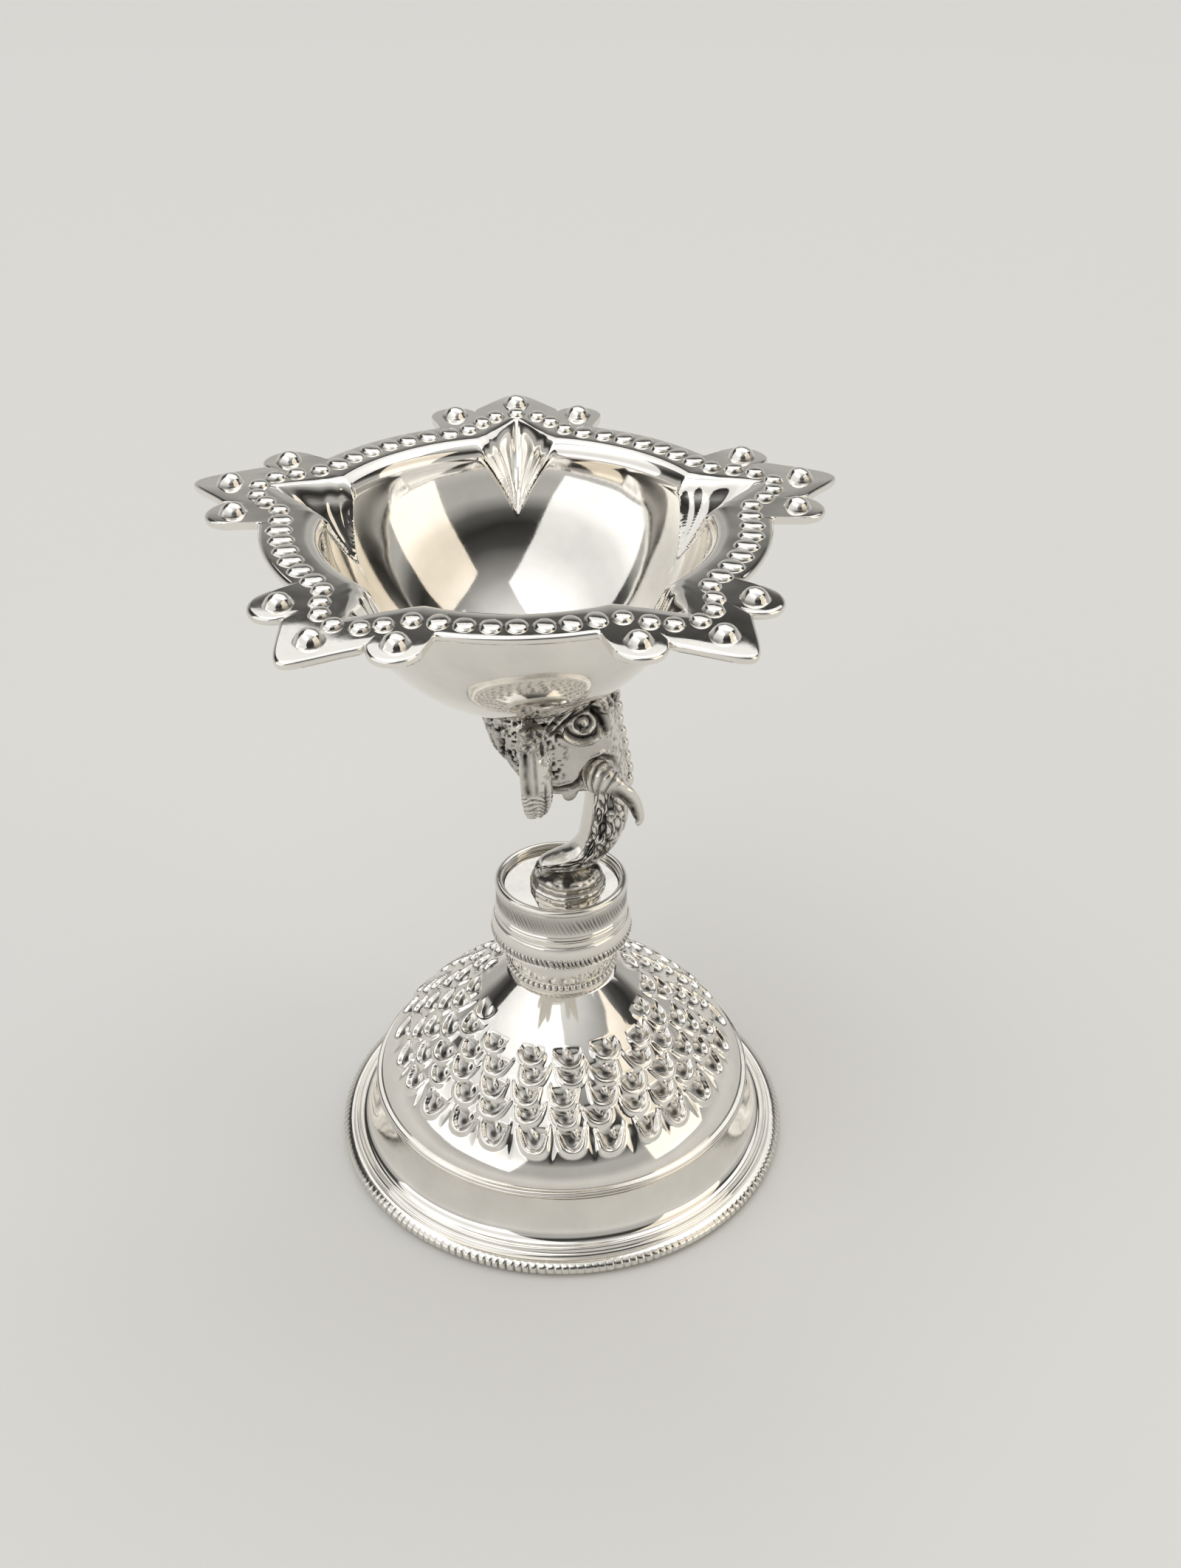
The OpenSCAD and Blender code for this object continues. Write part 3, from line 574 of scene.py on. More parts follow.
def roll_at(step, inset):
    """Radius and height of the rolled edge, so far out from its inner face: a quarter circle,
    from 0 degrees on the wall to 90 on the flange."""
    a = np.radians(step)
    reach = ROLL - WALL + inset
    return BOWL_R - WALL + ROLL - reach * np.cos(a), ROLL_Z + reach * np.sin(a)


def spout(r, z, turn, sheet):
    """Pushes the wall out into a spout: a valley whose bed climbs in a straight line from the
    wall to the flange and whose mouth widens as it climbs, with sides that flare into the roll
    at the top. The valley's rims stand in as sharp ridges, its bed has a raised line, and
    flutes fan out from its foot."""
    climb = np.clip((z - (RIM_Z - SPOUT_H)) / SPOUT_H, 0, 1)
    bed = SPOUT_FOOT_R + (SPOUT_R - SPOUT_FOOT_R) * climb + sheet
    x = np.abs(turn) / np.maximum(SPOUT_TURN * climb, 1e-6)
    hollow = np.clip(1 - x, 0, 1) ** (1 + 0.45 * ramp(climb, 0.55, 1.0))
    fan = np.sin(x * 19 + 0.8 * np.sin(x * 9)) * np.clip(1 - x, 0, 1) ** 0.3 * (x < 1)
    flutes = 0.13 * fan * ramp(climb, 0.1, 0.35) * (1 - 0.7 * ramp(climb, 0.7, 1.0))
    line = 0.3 * bell(x, 0.075) * (1 - 0.8 * climb)
    ridge = 0.3 * bell(x - 1.03, 0.085) * ramp(climb, 0.0, 0.15) * (1 - ramp(climb, 0.75, 0.97))
    push = np.maximum(bed - r, 0)
    fade = np.clip(push / 1.5, 0, 1)
    return r + np.where(climb > 0, push * hollow - (line + flutes + ridge) * fade, 0)


def wall_ring(r, z, sheet):
    """A ring of the wall or roll, at its own radius before the spouts push it out."""
    out = spout(np.full_like(AXIS_TURN, r), z, AXIS_TURN, sheet)
    return out, np.full_like(out, z)


def flange_ring(share, drop):
    """A ring of the flange at a share of the way from the mouth to the edge."""
    mouth, z = wall_ring(BOWL_R - WALL + ROLL, RIM_Z, 0)
    return mouth + (EDGE_R - mouth) * share, z - drop


def edge_ring(back, drop):
    """A ring at the flange's edge, back from it by so many mm and below the top by drop."""
    return EDGE_R - back, np.full_like(EDGE_R, RIM_Z - drop)


def droop(r):
    """How far the tabs hang at a radius: as the square of how far they reach out."""
    return TAB_DROOP * (np.maximum(r - FLANGE_R, 0) / (TAB_R - FLANGE_R)) ** 2


def five_spouted_bowl():
    """The bowl's sheet: rings up its outer face, out under the flange, round the edge, back over
    the flange and down the inner face to the floor, which dips to its middle."""
    rings = [wall_ring(*wall_at(a, 0), WALL) for a in np.linspace(12, 90, 26)]
    rings += [wall_ring(*roll_at(a, 0), WALL) for a in (15, 30, 45, 60, 75, 90)]
    rings += [flange_ring(share, WALL) for share in (0.35, 0.75)]
    rings += [edge_ring(*at) for at in ((0.3, WALL), (0.12, WALL - 0.06), (0.0, WALL / 2),
                                        (0.05, 0.12), (0.2, 0.02), (0.45, 0.0))]
    rings += [flange_ring(share, 0) for share in (0.7, 0.4, 0.15)]
    rings += [wall_ring(*roll_at(a, WALL), 0) for a in np.linspace(90, 0, 9)[:-1]]
    rings += [wall_ring(*wall_at(a, WALL), 0) for a in np.linspace(90, 60, 26)]
    lower = [wall_at(a, WALL) for a in np.linspace(58.5, 24, 16)]
    floor_z = lower[-1][1]
    lower += [(r, floor_z - 0.04 - (7.3 - r) * 0.17) for r in (7.05, 6.9, 6.4, 5.4, 4.2)]
    rings += [wall_ring(r, z, 0) for r, z in lower]
    r, z = np.array(rings).transpose(1, 0, 2)
    skin("five_spouted_bowl", round_axis(r, z - droop(r), EDGE_TURN + BOWL_TURN, BOWL_X),
         replaces="bowl", crease=50)


five_spouted_bowl()

# Height of a boss from its skirt to its middle: round, or a pad with a flatter top
DOME = [0.0, 0.12, 0.32, 0.57, 0.78, 0.9, 0.965, 1.0]
PAD = [0.0, 0.22, 0.52, 0.78, 0.9, 0.955, 0.985, 1.0]


def bosses(name, turns, radii, long, wide, high, profile):
    """Raised bosses punched up from below, the same at each of the five tabs, with the small
    misfits of hand work. Each is long (radially) by wide by high in mm, at an angle in degrees
    from the spout and a radius of the bowl. The skirts are painted dark on the two sides that
    face their neighbours, as painted shade and dark reflection of the gaps between them."""
    turns = np.arange(5)[:, None] * SECTOR + np.radians(turns)
    turns, radii, long, wide, high = (
        v[..., None, None] for v in np.broadcast_arrays(turns, radii, long, wide, high))
    uneven = np.random.default_rng(len(name)).uniform(-1, 1, (3, *turns.shape))
    turns, radii = turns + 0.0025 * uneven[0] + BOWL_TURN, radii + 0.06 * uneven[1]
    long, high = long * (1 + 0.05 * uneven[2]), high * (1 + 0.06 * uneven[2])
    share = np.array([1.0, 1.0, 0.93, 0.84, 0.72, 0.56, 0.38, 0.2, 0.02])[:, None]
    around = round_turn(16)
    x = radii + share * np.cos(around) * long / 2
    y = share * np.sin(around) * wide / 2
    z = RIM_Z - droop(np.hypot(x, y)) + np.array([0.0, *profile])[:, None] * high - 0.012
    z[..., 0, :] -= 0.1
    # Painted shade: the sides of each skirt that face its neighbours are darkened, up to 0.8
    dark = 0.8 * ramp(share, 0.75, 1.0) * ramp(np.abs(np.sin(around)), 0.6, 0.95) + 0 * x
    c, s = np.cos(turns), np.sin(turns)
    skin(name, np.stack([x * c - y * s + BOWL_X, x * s + y * c, z], -1), patina_and_shade=dark, crease=80)


bosses("flange_drops", np.linspace(18.4, 53.6, 7), 19.85, 2.35, 2.0, 0.36, PAD)
bosses("corner_dots", [-12.7, -8.5, -4.95, 0, 4.95, 8.5, 12.7],
       [20.25, 21.75, 23.05, 23.75, 23.05, 21.75, 20.25], 1.98,
       [1.85, 1.8, 1.8, 1.75, 1.8, 1.8, 1.85], 0.45, PAD)
bosses("tab_bosses", [-14.0, 0, 14.0], [24.1, 26.45, 24.1], 2.6, [2.5, 2.6, 2.5],
       [0.9, 0.95, 0.9], DOME)

# The elephant. It stands in its own frame: U forward to the forehead, W to its left, Z up
HEAD_X, HEAD_TURN, HEAD_LEN, HEAD_W, HEAD_H = -0.7, np.radians(8), 14.0, 8.6, 8.8
TRUNK_H, TRUNK_R, JAW_Z, CROWN_Z, BOXINESS = 10.3, 1.95, 41.9, 50.7, 2.6
# Trunk: forward and up as shares of the head's length and the trunk's height, thickness and width
# as shares of its radius, and lean in degrees
TRUNK_RINGS = [
    (-0.1, 0.03, 0.2, 0.25, -90), (-0.085, 0.035, 0.34, 0.45, -90), (-0.04, 0.045, 0.44, 0.64, -88),
    (0.03, 0.06, 0.54, 0.78, -84), (0.105, 0.08, 0.64, 0.86, -76), (0.18, 0.125, 0.74, 0.9, -64),
    (0.245, 0.205, 0.84, 0.93, -48), (0.292, 0.31, 0.94, 0.97, -30), (0.322, 0.44, 1, 1, -16),
    (0.338, 0.58, 1, 0.98, -6), (0.344, 0.72, 0.97, 0.96, 0), (0.348, 0.86, 1, 1, 0)]
# Head: up as a share of its height, back and front as shares of its length, and share of its width
HEAD_RINGS = [
    (0, 0.2, 0.495, 0.5), (0.02, 0.06, 0.495, 0.7), (0.05, -0.16, 0.49, 0.88),
    (0.11, -0.235, 0.485, 1), (0.22, -0.285, 0.47, 1.08), (0.36, -0.34, 0.455, 1.1),
    (0.5, -0.405, 0.44, 1.1), (0.64, -0.435, 0.42, 1.1), (0.78, -0.46, 0.415, 1.08),
    (0.9, -0.48, 0.41, 1.04), (1, -0.48, 0.37, 0.92)]


def to_lamp(points):
    """Points of the head's frame in the lamp's frame."""
    c, s = np.cos(HEAD_TURN), np.sin(HEAD_TURN)
    u, w, z = points[..., 0], points[..., 1], points[..., 2]
    return np.stack([u * c - w * s + HEAD_X, u * s + w * c, z], -1)


def cast(name, grid, dark, replaces, side=1):
    """A cast piece, given in the head's frame as it is on the left. side is -1 for its mirror
    image on the right."""
    if side < 0:
        grid, dark = (grid * [1, -1, 1])[:, ::-1], dark[:, ::-1]
    skin(name, to_lamp(grid), patina_and_shade=dark, slot="silver_cast", replaces=replaces, crease=80)


def spline(rows, steps):
    """Rows of points joined by Catmull-Rom curves, steps points to a stretch."""
    rows = np.asarray(rows, float)
    rows = np.concatenate([2 * rows[:1] - rows[1:2], rows, 2 * rows[-1:] - rows[-2:-1]])
    t = (np.arange(steps) / steps).reshape(-1, *[1] * (rows.ndim - 1))
    a, b, c, d = rows[:-3, None], rows[1:-2, None], rows[2:-1, None], rows[3:, None]
    curve = 0.5 * (2 * b + (c - a) * t + (2 * a - 5 * b + 4 * c - d) * t ** 2
                   + (3 * b - a - 3 * c + d) * t ** 3)
    return np.concatenate([curve.reshape(-1, *rows.shape[1:]), rows[-2:-1]])


def unit(vectors):
    """The same directions at length 1."""
    return vectors / np.maximum(np.linalg.norm(vectors, axis=-1, keepdims=True), 1e-9)


def outward(grid):
    """Unit normals of a stack of rings."""
    along = np.roll(grid, -1, 1) - np.roll(grid, 1, 1)
    return unit(np.cross(along, np.gradient(grid, axis=0)))


def bowl_under(x, y):
    """Height of the bowl's underside over a place."""
    share = np.clip(np.hypot(x - BOWL_X, y) / BOWL_R, 0, 0.98)
    a = np.arcsin(share ** (BOWL_POWER_R / 2))
    return np.maximum(ROLL_Z - BOWL_DEPTH * np.cos(a) ** (2 / BOWL_POWER_Z), CROWN_Z)


def plain_elephant(a):
    """Rings of the head and trunk before they are carved, over the angles a: ellipses square to
    the trunk's bend, then level superellipses up the head, joined by curves. The crown rises to
    meet the bowl."""
    boxy_u, boxy_w = (np.sign(v) * np.abs(v) ** (2 / BOXINESS) for v in (np.cos(a), np.sin(a)))
    coarse, steps = [], 10
    for forward, up, thick, wide, lean in TRUNK_RINGS:
        reach, lean = thick * TRUNK_R * np.cos(a), np.radians(lean)
        coarse.append(np.stack([forward * HEAD_LEN + reach * np.cos(lean),
                                wide * TRUNK_R * np.sin(a),
                                BUTTON_Z + up * TRUNK_H + reach * np.sin(lean)], -1))
    for up, back, front, wide in HEAD_RINGS:
        u = ((back + front) / 2 + (front - back) / 2 * boxy_u) * HEAD_LEN
        w = np.clip(wide * boxy_w, -1, 1) * HEAD_W / 2
        coarse.append(np.stack([u, w, np.full_like(u, JAW_Z + up * HEAD_H)], -1))
    rings = spline(coarse, steps)
    # Three times as many rows under the jaw, for its lobe
    under = (len(TRUNK_RINGS) + 1) * steps
    row = np.concatenate([np.arange(under), np.arange(under, under + steps, 1 / 3),
                          np.arange(under + steps, len(rings) - 0.5)])
    whole = np.floor(row).astype(int)
    part = (row - whole)[:, None, None]
    rings = rings[whole] * (1 - part) + rings[np.minimum(whole + 1, len(rings) - 1)] * part
    for _ in range(6):
        rings = 0.5 * rings + 0.25 * (np.roll(rings, 1, 1) + np.roll(rings, -1, 1))
    place = to_lamp(rings)
    room = bowl_under(place[..., 0], place[..., 1]) - CROWN_Z
    rings[..., 2] += 0.8 * room * ramp(rings[..., 2], CROWN_Z - 2.5, CROWN_Z)
    return rings


def face(x, y):
    """Carving of the side of the head, x forward and y up, as relief in mm and patina: a round
    eye ringed by its lids, doubled brows over it and a hollow before it, the mouth with its lip,
    and a groove round the root of the tusk."""
    def line(path, width):
        """A rounded line along a path: 1 on it, falling off as a bell of the given width."""
        best = np.inf
        for (ax, ay), (bx, by) in zip(path[:-1], path[1:]):
            length = (bx - ax) ** 2 + (by - ay) ** 2
            t = np.clip(((x - ax) * (bx - ax) + (y - ay) * (by - ay)) / length, 0, 1)
            off = (x - ax - t * (bx - ax)) ** 2 + (y - ay - t * (by - ay)) ** 2
            best = np.minimum(best, off)
        return np.exp(-best / width ** 2)

    eye_x, eye_y = 2.2, 49.8
    from_eye = np.hypot(x - eye_x, y - eye_y)
    low = ramp((eye_y - y) / np.maximum(from_eye, 0.1), -0.1, 0.45)
    lid_dip = bell(from_eye - 1.62, 0.2) * low
    eye_ring = bell(from_eye - 1.0, 0.16)
    eye_dip = bell(from_eye - 0.68, 0.13)
    pupil = bump(np.hypot(x - 1.95, y - 49.58) / 0.5) ** 0.5
    brow = np.array([(-0.9, 49.2), (0.0, 50.1), (1.2, 51.0), (2.7, 51.6), (3.5, 51.2)])
    above = brow + [-0.35, 0.5]
    under_brow, under_above = brow - [-0.1, 0.42], above - [-0.15, 0.25]
    second = [(-0.1, 48.8), (0.7, 49.8), (1.3, 50.5), (2.2, 50.95)]
    gap = [(3.15, 50.8), (3.95, 49.9), (4.25, 48.6)]
    gap_edge = [(3.6, 51.2), (4.4, 50.2), (4.65, 48.7), (4.3, 48.1)]
    mouth = np.array([(-1.7, 43.2), (-0.9, 43.15), (-0.2, 43.0), (0.6, 43.2), (1.2, 43.3),
                      (1.9, 44.0)])
    lip = [(-1.7, 42.7), (-0.4, 42.65), (0.9, 42.7), (2.0, 43.2)]
    socket = np.array([(1.7, 43.6), (2.0, 44.6), (2.9, 45.8), (4.0, 46.15), (5.1, 45.5),
                       (5.7, 44.2)])
    out = (0.5 * bump(from_eye / 0.62) - 0.3 * eye_dip + 0.26 * eye_ring - 0.34 * lid_dip
           + 0.34 * bell(from_eye - 2.08, 0.18) * low + 0.4 * line(brow, 0.2)
           + 0.3 * line(second, 0.15) + 0.26 * line(above, 0.16) - 0.34 * line(under_brow, 0.14)
           - 0.26 * line(under_above, 0.1) - 0.45 * line(gap, 0.34) + 0.3 * line(gap_edge, 0.13)
           + 0.4 * bump(np.hypot(x - 3.4, y - 48.4) / 0.55) - 0.42 * line(mouth, 0.2)
           + 0.26 * line(lip, 0.2) + 0.14 * line(mouth + [0.2, 0.5], 0.14)
           - 0.3 * line(socket, 0.2) + 0.16 * line(socket + [0, 0.4], 0.16))
    dark = np.maximum.reduce([
        0.9 * eye_dip, lid_dip, pupil, line(gap, 0.42), 0.9 * line(mouth, 0.2),
        0.9 * line(under_brow, 0.18), 0.8 * line(under_above, 0.14), 0.9 * line(socket, 0.2)])
    return out, dark


def hide(rings, normal, in_head, flank):
    """Surface of the casting over the head, as relief in mm and patina."""
    x, y = rings[..., 0], rings[..., 2]
    # The cheek is smooth and pitted towards the ear. Below the brow it is a little dull and painted
    # darker, and the band round the brow is left bright as a painted highlight
    cheek = flank * (1 - ramp(y, 47.6, 49))
    pits = grain(rings, 0.24, 3) + 0.25 * grain(rings, 0.9, 4) + 0.2 * (0.3 - x).clip(-1.3, 0.6)
    near_ear = flank * (1 - ramp(x, -0.2, 1.7)) * ramp(y, 43.5, 44.5)
    pits = ramp(pits, 0.16, 0.5) * near_ear
    # The nape, the side that faces back, is left rough from the mould; it is a little darker all
    # over and black in its hollows
    nape = ramp(-normal[..., 0], 0.25, 0.6) * in_head
    rough = ramp(grain(rings, 0.55, 5) + 0.6 * grain(rings, 0.22, 6), -0.05, 0.6)
    # The forehead: small curls at the top and a fine stipple beside the drops
    front = ramp(normal[..., 0], 0.35, 0.75) * in_head
    curls = np.abs(grain(rings, (0.9, 0.5, 0.42), 7))
    crest = ramp(y, 49.4, 50.4) * np.maximum(front, flank * ramp(x, 3.4, 4.2))
    stipple = grain(rings, 0.3, 8) + 0.5 * grain(rings, 0.15, 9)
    beside = np.maximum(front, 0.8 * ramp(x, 3.6, 4.8) * flank)
    out = (0.34 * crest * (0.5 - ramp(curls, 0.05, 0.35)) + 0.09 * stipple * beside
           - 0.12 * pits - 0.3 * rough * nape)
    dark = np.maximum.reduce([
        0.24 * cheek, 0.95 * pits, nape * (0.25 + 0.75 * rough),
        0.9 * crest * ramp(curls, 0.12, 0.36), 0.5 * ramp(-stipple, 0.1, 0.6) * beside])
    return out, dark


def trunk_folds(rings, around):
    """Surface of the trunk, as relief in mm and patina: a smooth band behind, which widens at the
    foot, deep streaky wrinkles over the rest of it, and a swelling in front."""
    z = rings[..., 2]
    steps = np.linalg.norm(np.diff(rings.mean(1), axis=0), axis=-1)
    length = np.concatenate([[0], np.cumsum(steps)])[:, None]
    on_trunk = (1 - ramp(z, JAW_Z - 0.6, JAW_Z + 0.7)) * ramp(z, BUTTON_Z + 0.1, BUTTON_Z + 0.5)
    spread = 0.75 + 0.3 * (1 - ramp(z, 32.6, 35))
    band = 1 - ramp(np.abs(around - np.pi) - spread, 0, 0.2)
    flow = np.stack(np.broadcast_arrays(np.cos(around) * TRUNK_R, np.sin(around) * TRUNK_R,
                                        length + 0.9 * np.sin(around + 0.5)), -1)
    flow = flow + 0.3 * np.stack([grain(flow, 1.1, seed) for seed in (10, 11, 12)], -1)
    wrinkle = 1 - ramp(np.abs(grain(flow, (0.42, 0.42, 1.3), 33)), 0.03, 0.3)
    crazing = 1 - ramp(np.abs(grain(flow, (0.24, 0.24, 0.8), 34)), 0.04, 0.34)
    cut = np.maximum(wrinkle, 0.85 * crazing) * on_trunk * (1 - band)
    brawn = ramp(np.cos(around), -0.2, 0.7) * bump((z - 38) / 5.5) * on_trunk
    return 0.4 * brawn - 0.26 * cut, 0.95 * cut


def elephant_casting():
    """Head and trunk in one skin: the plain form, carved along its normals."""
    a = round_turn(380)
    rings = plain_elephant(a)
    normal = outward(rings)
    u, w, z = rings[..., 0], rings[..., 1], rings[..., 2]
    in_head = ramp(z, JAW_Z - 0.8, JAW_Z + 0.6)
    flank = ramp(np.abs(w), 2.9, 3.7) * in_head
    (carved, carved_dark), (skin_out, skin_dark), (folds, folds_dark) = (
        face(u, z), hide(rings, normal, in_head, flank), trunk_folds(rings, a))
    dark = np.maximum.reduce([carved_dark * flank, skin_dark, folds_dark])
    rings = rings + normal * (carved * flank + skin_out + folds)[..., None]
    # The lower jaw ends in a small round lobe
    lobe = np.clip(1 - ((u - 1.02) / 0.66) ** 2, 0, 1) ** 0.36
    lobe = lobe * (1 - ramp(z, 42.4, 43.0)) * ramp(z, 41.0, 41.6)
    rings[..., 2] -= 0.95 * lobe * ramp(np.abs(w), 1.3, 2.2)
    rings[..., 2] = np.maximum(rings[..., 2], BUTTON_Z)
    cast("elephant_casting", rings, dark, "elephant_head")


elephant_casting()

# Ears: a cupped fan with a thick curled rim. Rows give the share of its width and of its height
EAR_ROWS = [(0.3, 0), (0.62, 0.1), (0.8, 0.24), (0.92, 0.42), (1, 0.6), (1, 0.78), (0.94, 0.91),
            (0.8, 1)]
EAR_H, EAR_W, EAR_U, EAR_THICK, EAR_THIN = 9.75, 3.9, -2.95, 1.38, 0.45


def ear(name, side, replaces):
    """An ear. Rows run from its lobe to its top and each is a loop round the fan's section: thin
    at the root, a thick roll at the rim. Grooves and a rib run along the rim, wrinkles cross the
    lobe, and the top breaks up into small curls."""
    rows = spline(EAR_ROWS, 16)
    wide, high = rows[:, :1], rows[:, 1:]
    turn = np.arange(120) / 120
    s = np.sin((1 - np.abs(2 * turn - 1)) * np.pi / 2) ** 1.2
    roll = np.clip(1 - ((s - 0.76) / 0.24).clip(0) ** 3, 0, 1) ** (1 / 3)
    across = np.where(turn < 0.5, 1.0, -1.0) * roll
    thick = EAR_THIN + (EAR_THICK - EAR_THIN) * ramp(s, 0.3, 0.78)
    thick = thick * (0.74 + 0.26 * ramp(high, 0, 0.25)) * (1 - 0.28 * ramp(high, 0.72, 1))
    root = 0.52 + 0.48 * high
    level = root + (high - root) * s
    u = EAR_U + across * thick + np.sin(np.pi * s) * 0.5 + 0.6 * (1 - high)
    w = HEAD_W / 2 - 0.15 + wide * EAR_W * s
    z = CROWN_Z - 0.28 + 0.6 * s * ramp(high, 0.7, 1) - EAR_H * (1 - level)
    grid = np.stack([u, w, z], -1)
    rim = ramp(s, 0.5, 0.85)
    upper = ramp(level, 0.36, 0.44)
    groove = bell(across + 0.42, 0.27) + 0.8 * bell(across - 0.22, 0.08)
    groove = groove * rim * upper * (1 - ramp(level, 0.84, 0.93))
    edge = bell(across - 0.74, 0.08) * rim * (1 - ramp(level, 0.45, 0.6))
    phase = z / 0.55 + 0.5 * across ** 2 + 1.1 * grain(grid, (0.7, 1.6, 1.3), 21)
    folds = bell(np.abs(np.sin(np.pi * phase)), 0.45) * (1 - upper) * ramp(s, 0.35, 0.7)
    split = bell(across - 0.3, 0.12) * (1 - ramp(level, 0.06, 0.14)) * rim
    knobs = (0.8 * grain(grid, 0.6, 22) + 0.7 * grain(grid, 0.34, 26)) * ramp(level, 0.7, 0.82)
    spots = ramp(grain(grid, 0.36, 23) + 0.4 * grain(grid, 0.8, 24), 0.3, 0.7)
    spots = spots * ramp(s, 0.1, 0.3) * upper
    out = -0.3 * groove - 0.14 * edge - 0.27 * folds - 0.3 * split + 0.38 * knobs - 0.07 * spots
    uneven = 0.8 + 0.4 * grain(grid, (0.5, 0.5, 0.7), 27)
    dark = np.maximum.reduce([
        0.9 * groove * uneven, 0.8 * edge, 0.9 * folds, 0.9 * split,
        0.85 * ramp(-knobs, 0.12, 0.5), 0.38 * ramp(level, 0.78, 0.86),
        0.6 * spots * (1 - 0.5 * rim)])
    cast(name, grid + outward(grid) * out[..., None], dark, replaces, side)


ear("ear_near_cast", -1, "ear_near")
ear("ear_far_cast", 1, "ear_far")

# A tusk's path from the cheek to its tip, and its radius at shares of the way
TUSK_PATH = [(3.1, 2.6, 43.85), (3.45, 3.9, 44.1), (4.1, 4.8, 44.1), (5.05, 5.25, 43.6),
             (6.0, 5.3, 42.65), (6.75, 5.15, 41.35), (7.2, 5.0, 39.85), (7.2, 4.95, 39.0)]
TUSK_SHARES = [0, 0.1, 0.2, 0.32, 0.42, 0.5, 0.62, 0.8, 0.93, 0.975, 1]
TUSK_RADII = [1.75, 1.9, 1.85, 1.55, 1.15, 0.92, 0.8, 0.64, 0.45, 0.3, 0.1]


def tusk(name, side, replaces):
    """A tusk: rings carried along a path that leaves the cheek sideways and bends forwards and
    down. The root swells into a dome of fine bands that shrink towards the blade, and the blade
    is deeper than wide, with a dark hollow along its outer underside."""
    path = spline(TUSK_PATH, 18)
    t = np.linspace(0, 1, len(path))[:, None]
    ahead = unit(np.gradient(path, axis=0))
    beside = unit(np.cross(ahead, [0, 0.35, 1.0]))
    upper = np.cross(beside, ahead)
    turn = round_turn(60)
    size = np.interp(t, TUSK_SHARES, TUSK_RADII)
    bands = np.abs(np.sin(t * TAU * 8.4)) ** 0.7
    groove = (1 - bands) * (1 - ramp(t, 0.36, 0.46))
    keel = 1 + 0.12 * np.cos(turn) ** 3 * ramp(t, 0.45, 0.6)
    channel = bump((turn - np.radians(262)) / np.radians(60))
    channel = channel * ramp(t, 0.36, 0.5) * (1 - ramp(t, 0.9, 0.98))
    radius = (size * (keel - 0.3 * channel) - 0.13 * groove)[..., None]
    section = np.cos(turn)[:, None] * upper[:, None] + 0.8 * np.sin(turn)[:, None] * beside[:, None]
    grid = path[:, None] + radius * section
    dark = np.maximum(0.85 * groove, channel ** 0.5 * (0.7 + 0.3 * grain(grid, 0.3, 25)))
    cast(name, grid, dark, replaces, side)


tusk("tusk_near_cast", -1, "tusk_near")
tusk("tusk_far_cast", 1, "tusk_far")


def forehead_drops():
    """The eight drops down the forehead, each a low round bead drawn out downwards: an ellipsoid
    whose lower end is longer than its upper."""
    up = np.linspace(-0.12, 0.93, 8)
    front = np.interp(up, [r[0] for r in HEAD_RINGS], [r[2] for r in HEAD_RINGS]) * HEAD_LEN
    middles = np.stack([front + 0.08, 0 * up, JAW_Z + HEAD_H * up], -1)
    tilt, turn = np.linspace(0.03, np.pi - 0.03, 15)[:, None], round_turn(28)
    drop = np.stack([0.52 * np.sin(tilt) * np.cos(turn), 0.54 * np.sin(tilt) * np.sin(turn),
                     -0.72 * np.cos(tilt) * (1 + 0.12 * np.cos(tilt)) + 0 * turn], -1)
    skin("forehead_drops", to_lamp(drop + middles[:, None, None]), slot="silver_cast",
         replaces="forehead_beads")


forehead_drops()

# Light, floor and camera, in metres. The sky is dark halfway up and bright overhead, so that the
# polished metal has something to mirror
HAZE = "DAD8D4"
SKY = ((0.0, HAZE), (0.2, "B6B5B3"), (0.35, "B8B7B4"), (0.46, "5C5B59"), (0.56, "302F2C"),
       (0.67, "4A4948"), (0.82, "A6A5A3"), (1.0, "FFFFFF"))
LAMP_AIM = (0, 0, 0.035)

world = bpy.data.worlds.new("studio")
bpy.context.scene.world = world
sky = empty_tree(world)
height = node(sky, "SeparateXYZ", Vector=node(sky, "TexCoord").outputs["Generated"])
bands = node(sky, "ValToRGB", Fac=height.outputs["Z"])
stops = bands.color_ramp.elements
for at, code in SKY:
    stop = stops.new(at) if 0 < at < 1 else stops[0 if at == 0 else len(stops) - 1]
    stop.color = linear(code)
node(sky, "OutputWorld", Surface=node(sky, "Background", Color=bands))

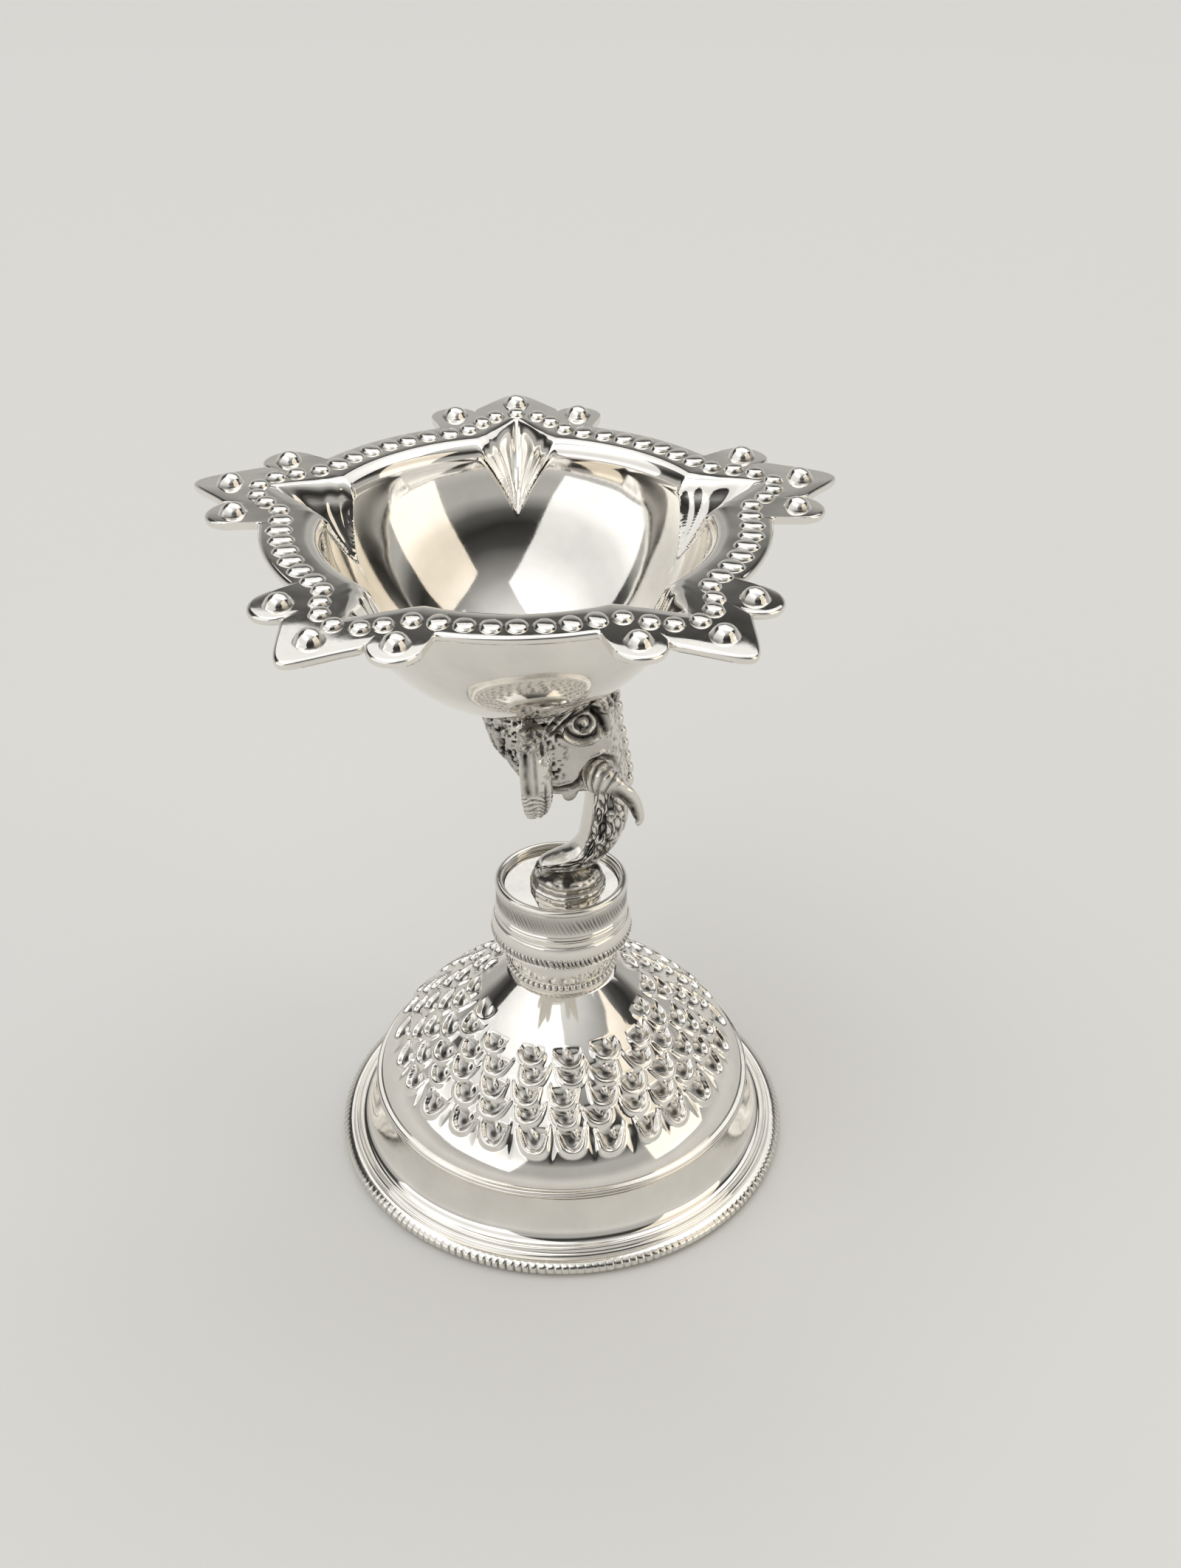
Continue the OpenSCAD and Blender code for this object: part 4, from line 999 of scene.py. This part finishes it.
# The paper fades into the haze towards the skyline, where no lamp reaches it
paper = bpy.data.materials.new("paper_sweep_pale")
tree = empty_tree(paper)
near = node(tree, "BsdfPrincipled", Base_Color=linear("E6E5E2"), Roughness=0.85)
far = node(tree, "Emission", Color=linear(HAZE))
place = node(tree, "TexCoord").outputs["Object"]
away = node(tree, "VectorMath", {"operation": "LENGTH"}, _0=place).outputs["Value"]
fade = node(tree, "MapRange", {"interpolation_type": "SMOOTHSTEP"}, Value=away, From_Min=0.45,
            From_Max=1.5)
ray = node(tree, "LightPath")
seen = node(tree, "Math", {"operation": "MAXIMUM"}, _0=ray.outputs["Is Camera Ray"],
            _1=ray.outputs["Is Glossy Ray"])
share = node(tree, "Math", {"operation": "MULTIPLY"}, _0=seen, _1=fade)
node(tree, "OutputMaterial", Surface=node(tree, "MixShader", _0=share, _1=near, _2=far))

floor_mesh = bpy.data.meshes.new("floor")
floor_mesh.from_pydata([(-2, -2, 0), (2, -2, 0), (2, 2, 0), (-2, 2, 0)], [], [(0, 1, 2, 3)])
floor_mesh.materials.append(paper)
floor = in_scene("floor", floor_mesh)


def softbox(name, place, size, watts, colour="FFFFFF"):
    """A rectangular soft lamp that hangs at place and faces the lamp's stem."""
    light = bpy.data.lights.new(name, "AREA")
    light.shape, light.size, light.size_y = "RECTANGLE", *size
    light.energy, light.color = watts, linear(colour)[:3]
    hung = in_scene(name, light)
    x, y, z = np.subtract(place, LAMP_AIM)
    hung.rotation_euler = Euler((np.arctan2(np.hypot(x, y), z), 0, np.arctan2(x, -y)))
    hung.location = place


softbox("key", (-1.1, -0.7, 1.3), (2.5, 2.5), 17)
softbox("fill", (1.5, -0.5, 0.9), (1.25, 1.65), 6, "FFF4E2")
softbox("overhead", (0.3, 0.95, 1.7), (2.7, 1.7), 14)

# The camera looks down by 32.73 degrees, with a slight roll
camera_data = bpy.data.cameras.new("camera")
camera_data.sensor_width, camera_data.lens = 36, 41.69
camera_data.sensor_fit = "AUTO"
camera_data.clip_start, camera_data.clip_end = 0.01, 20
camera = in_scene("camera", camera_data)
camera.location = (0.00274, -0.14137, 0.13177)
pitched = Euler((np.radians(90 - 32.73), 0, 0)).to_matrix()
camera.rotation_euler = (pitched @ Matrix.Rotation(np.radians(0.39), 3, "Z")).to_euler()
bpy.context.scene.camera = camera

bpy.context.scene.view_settings.view_transform = "Standard"
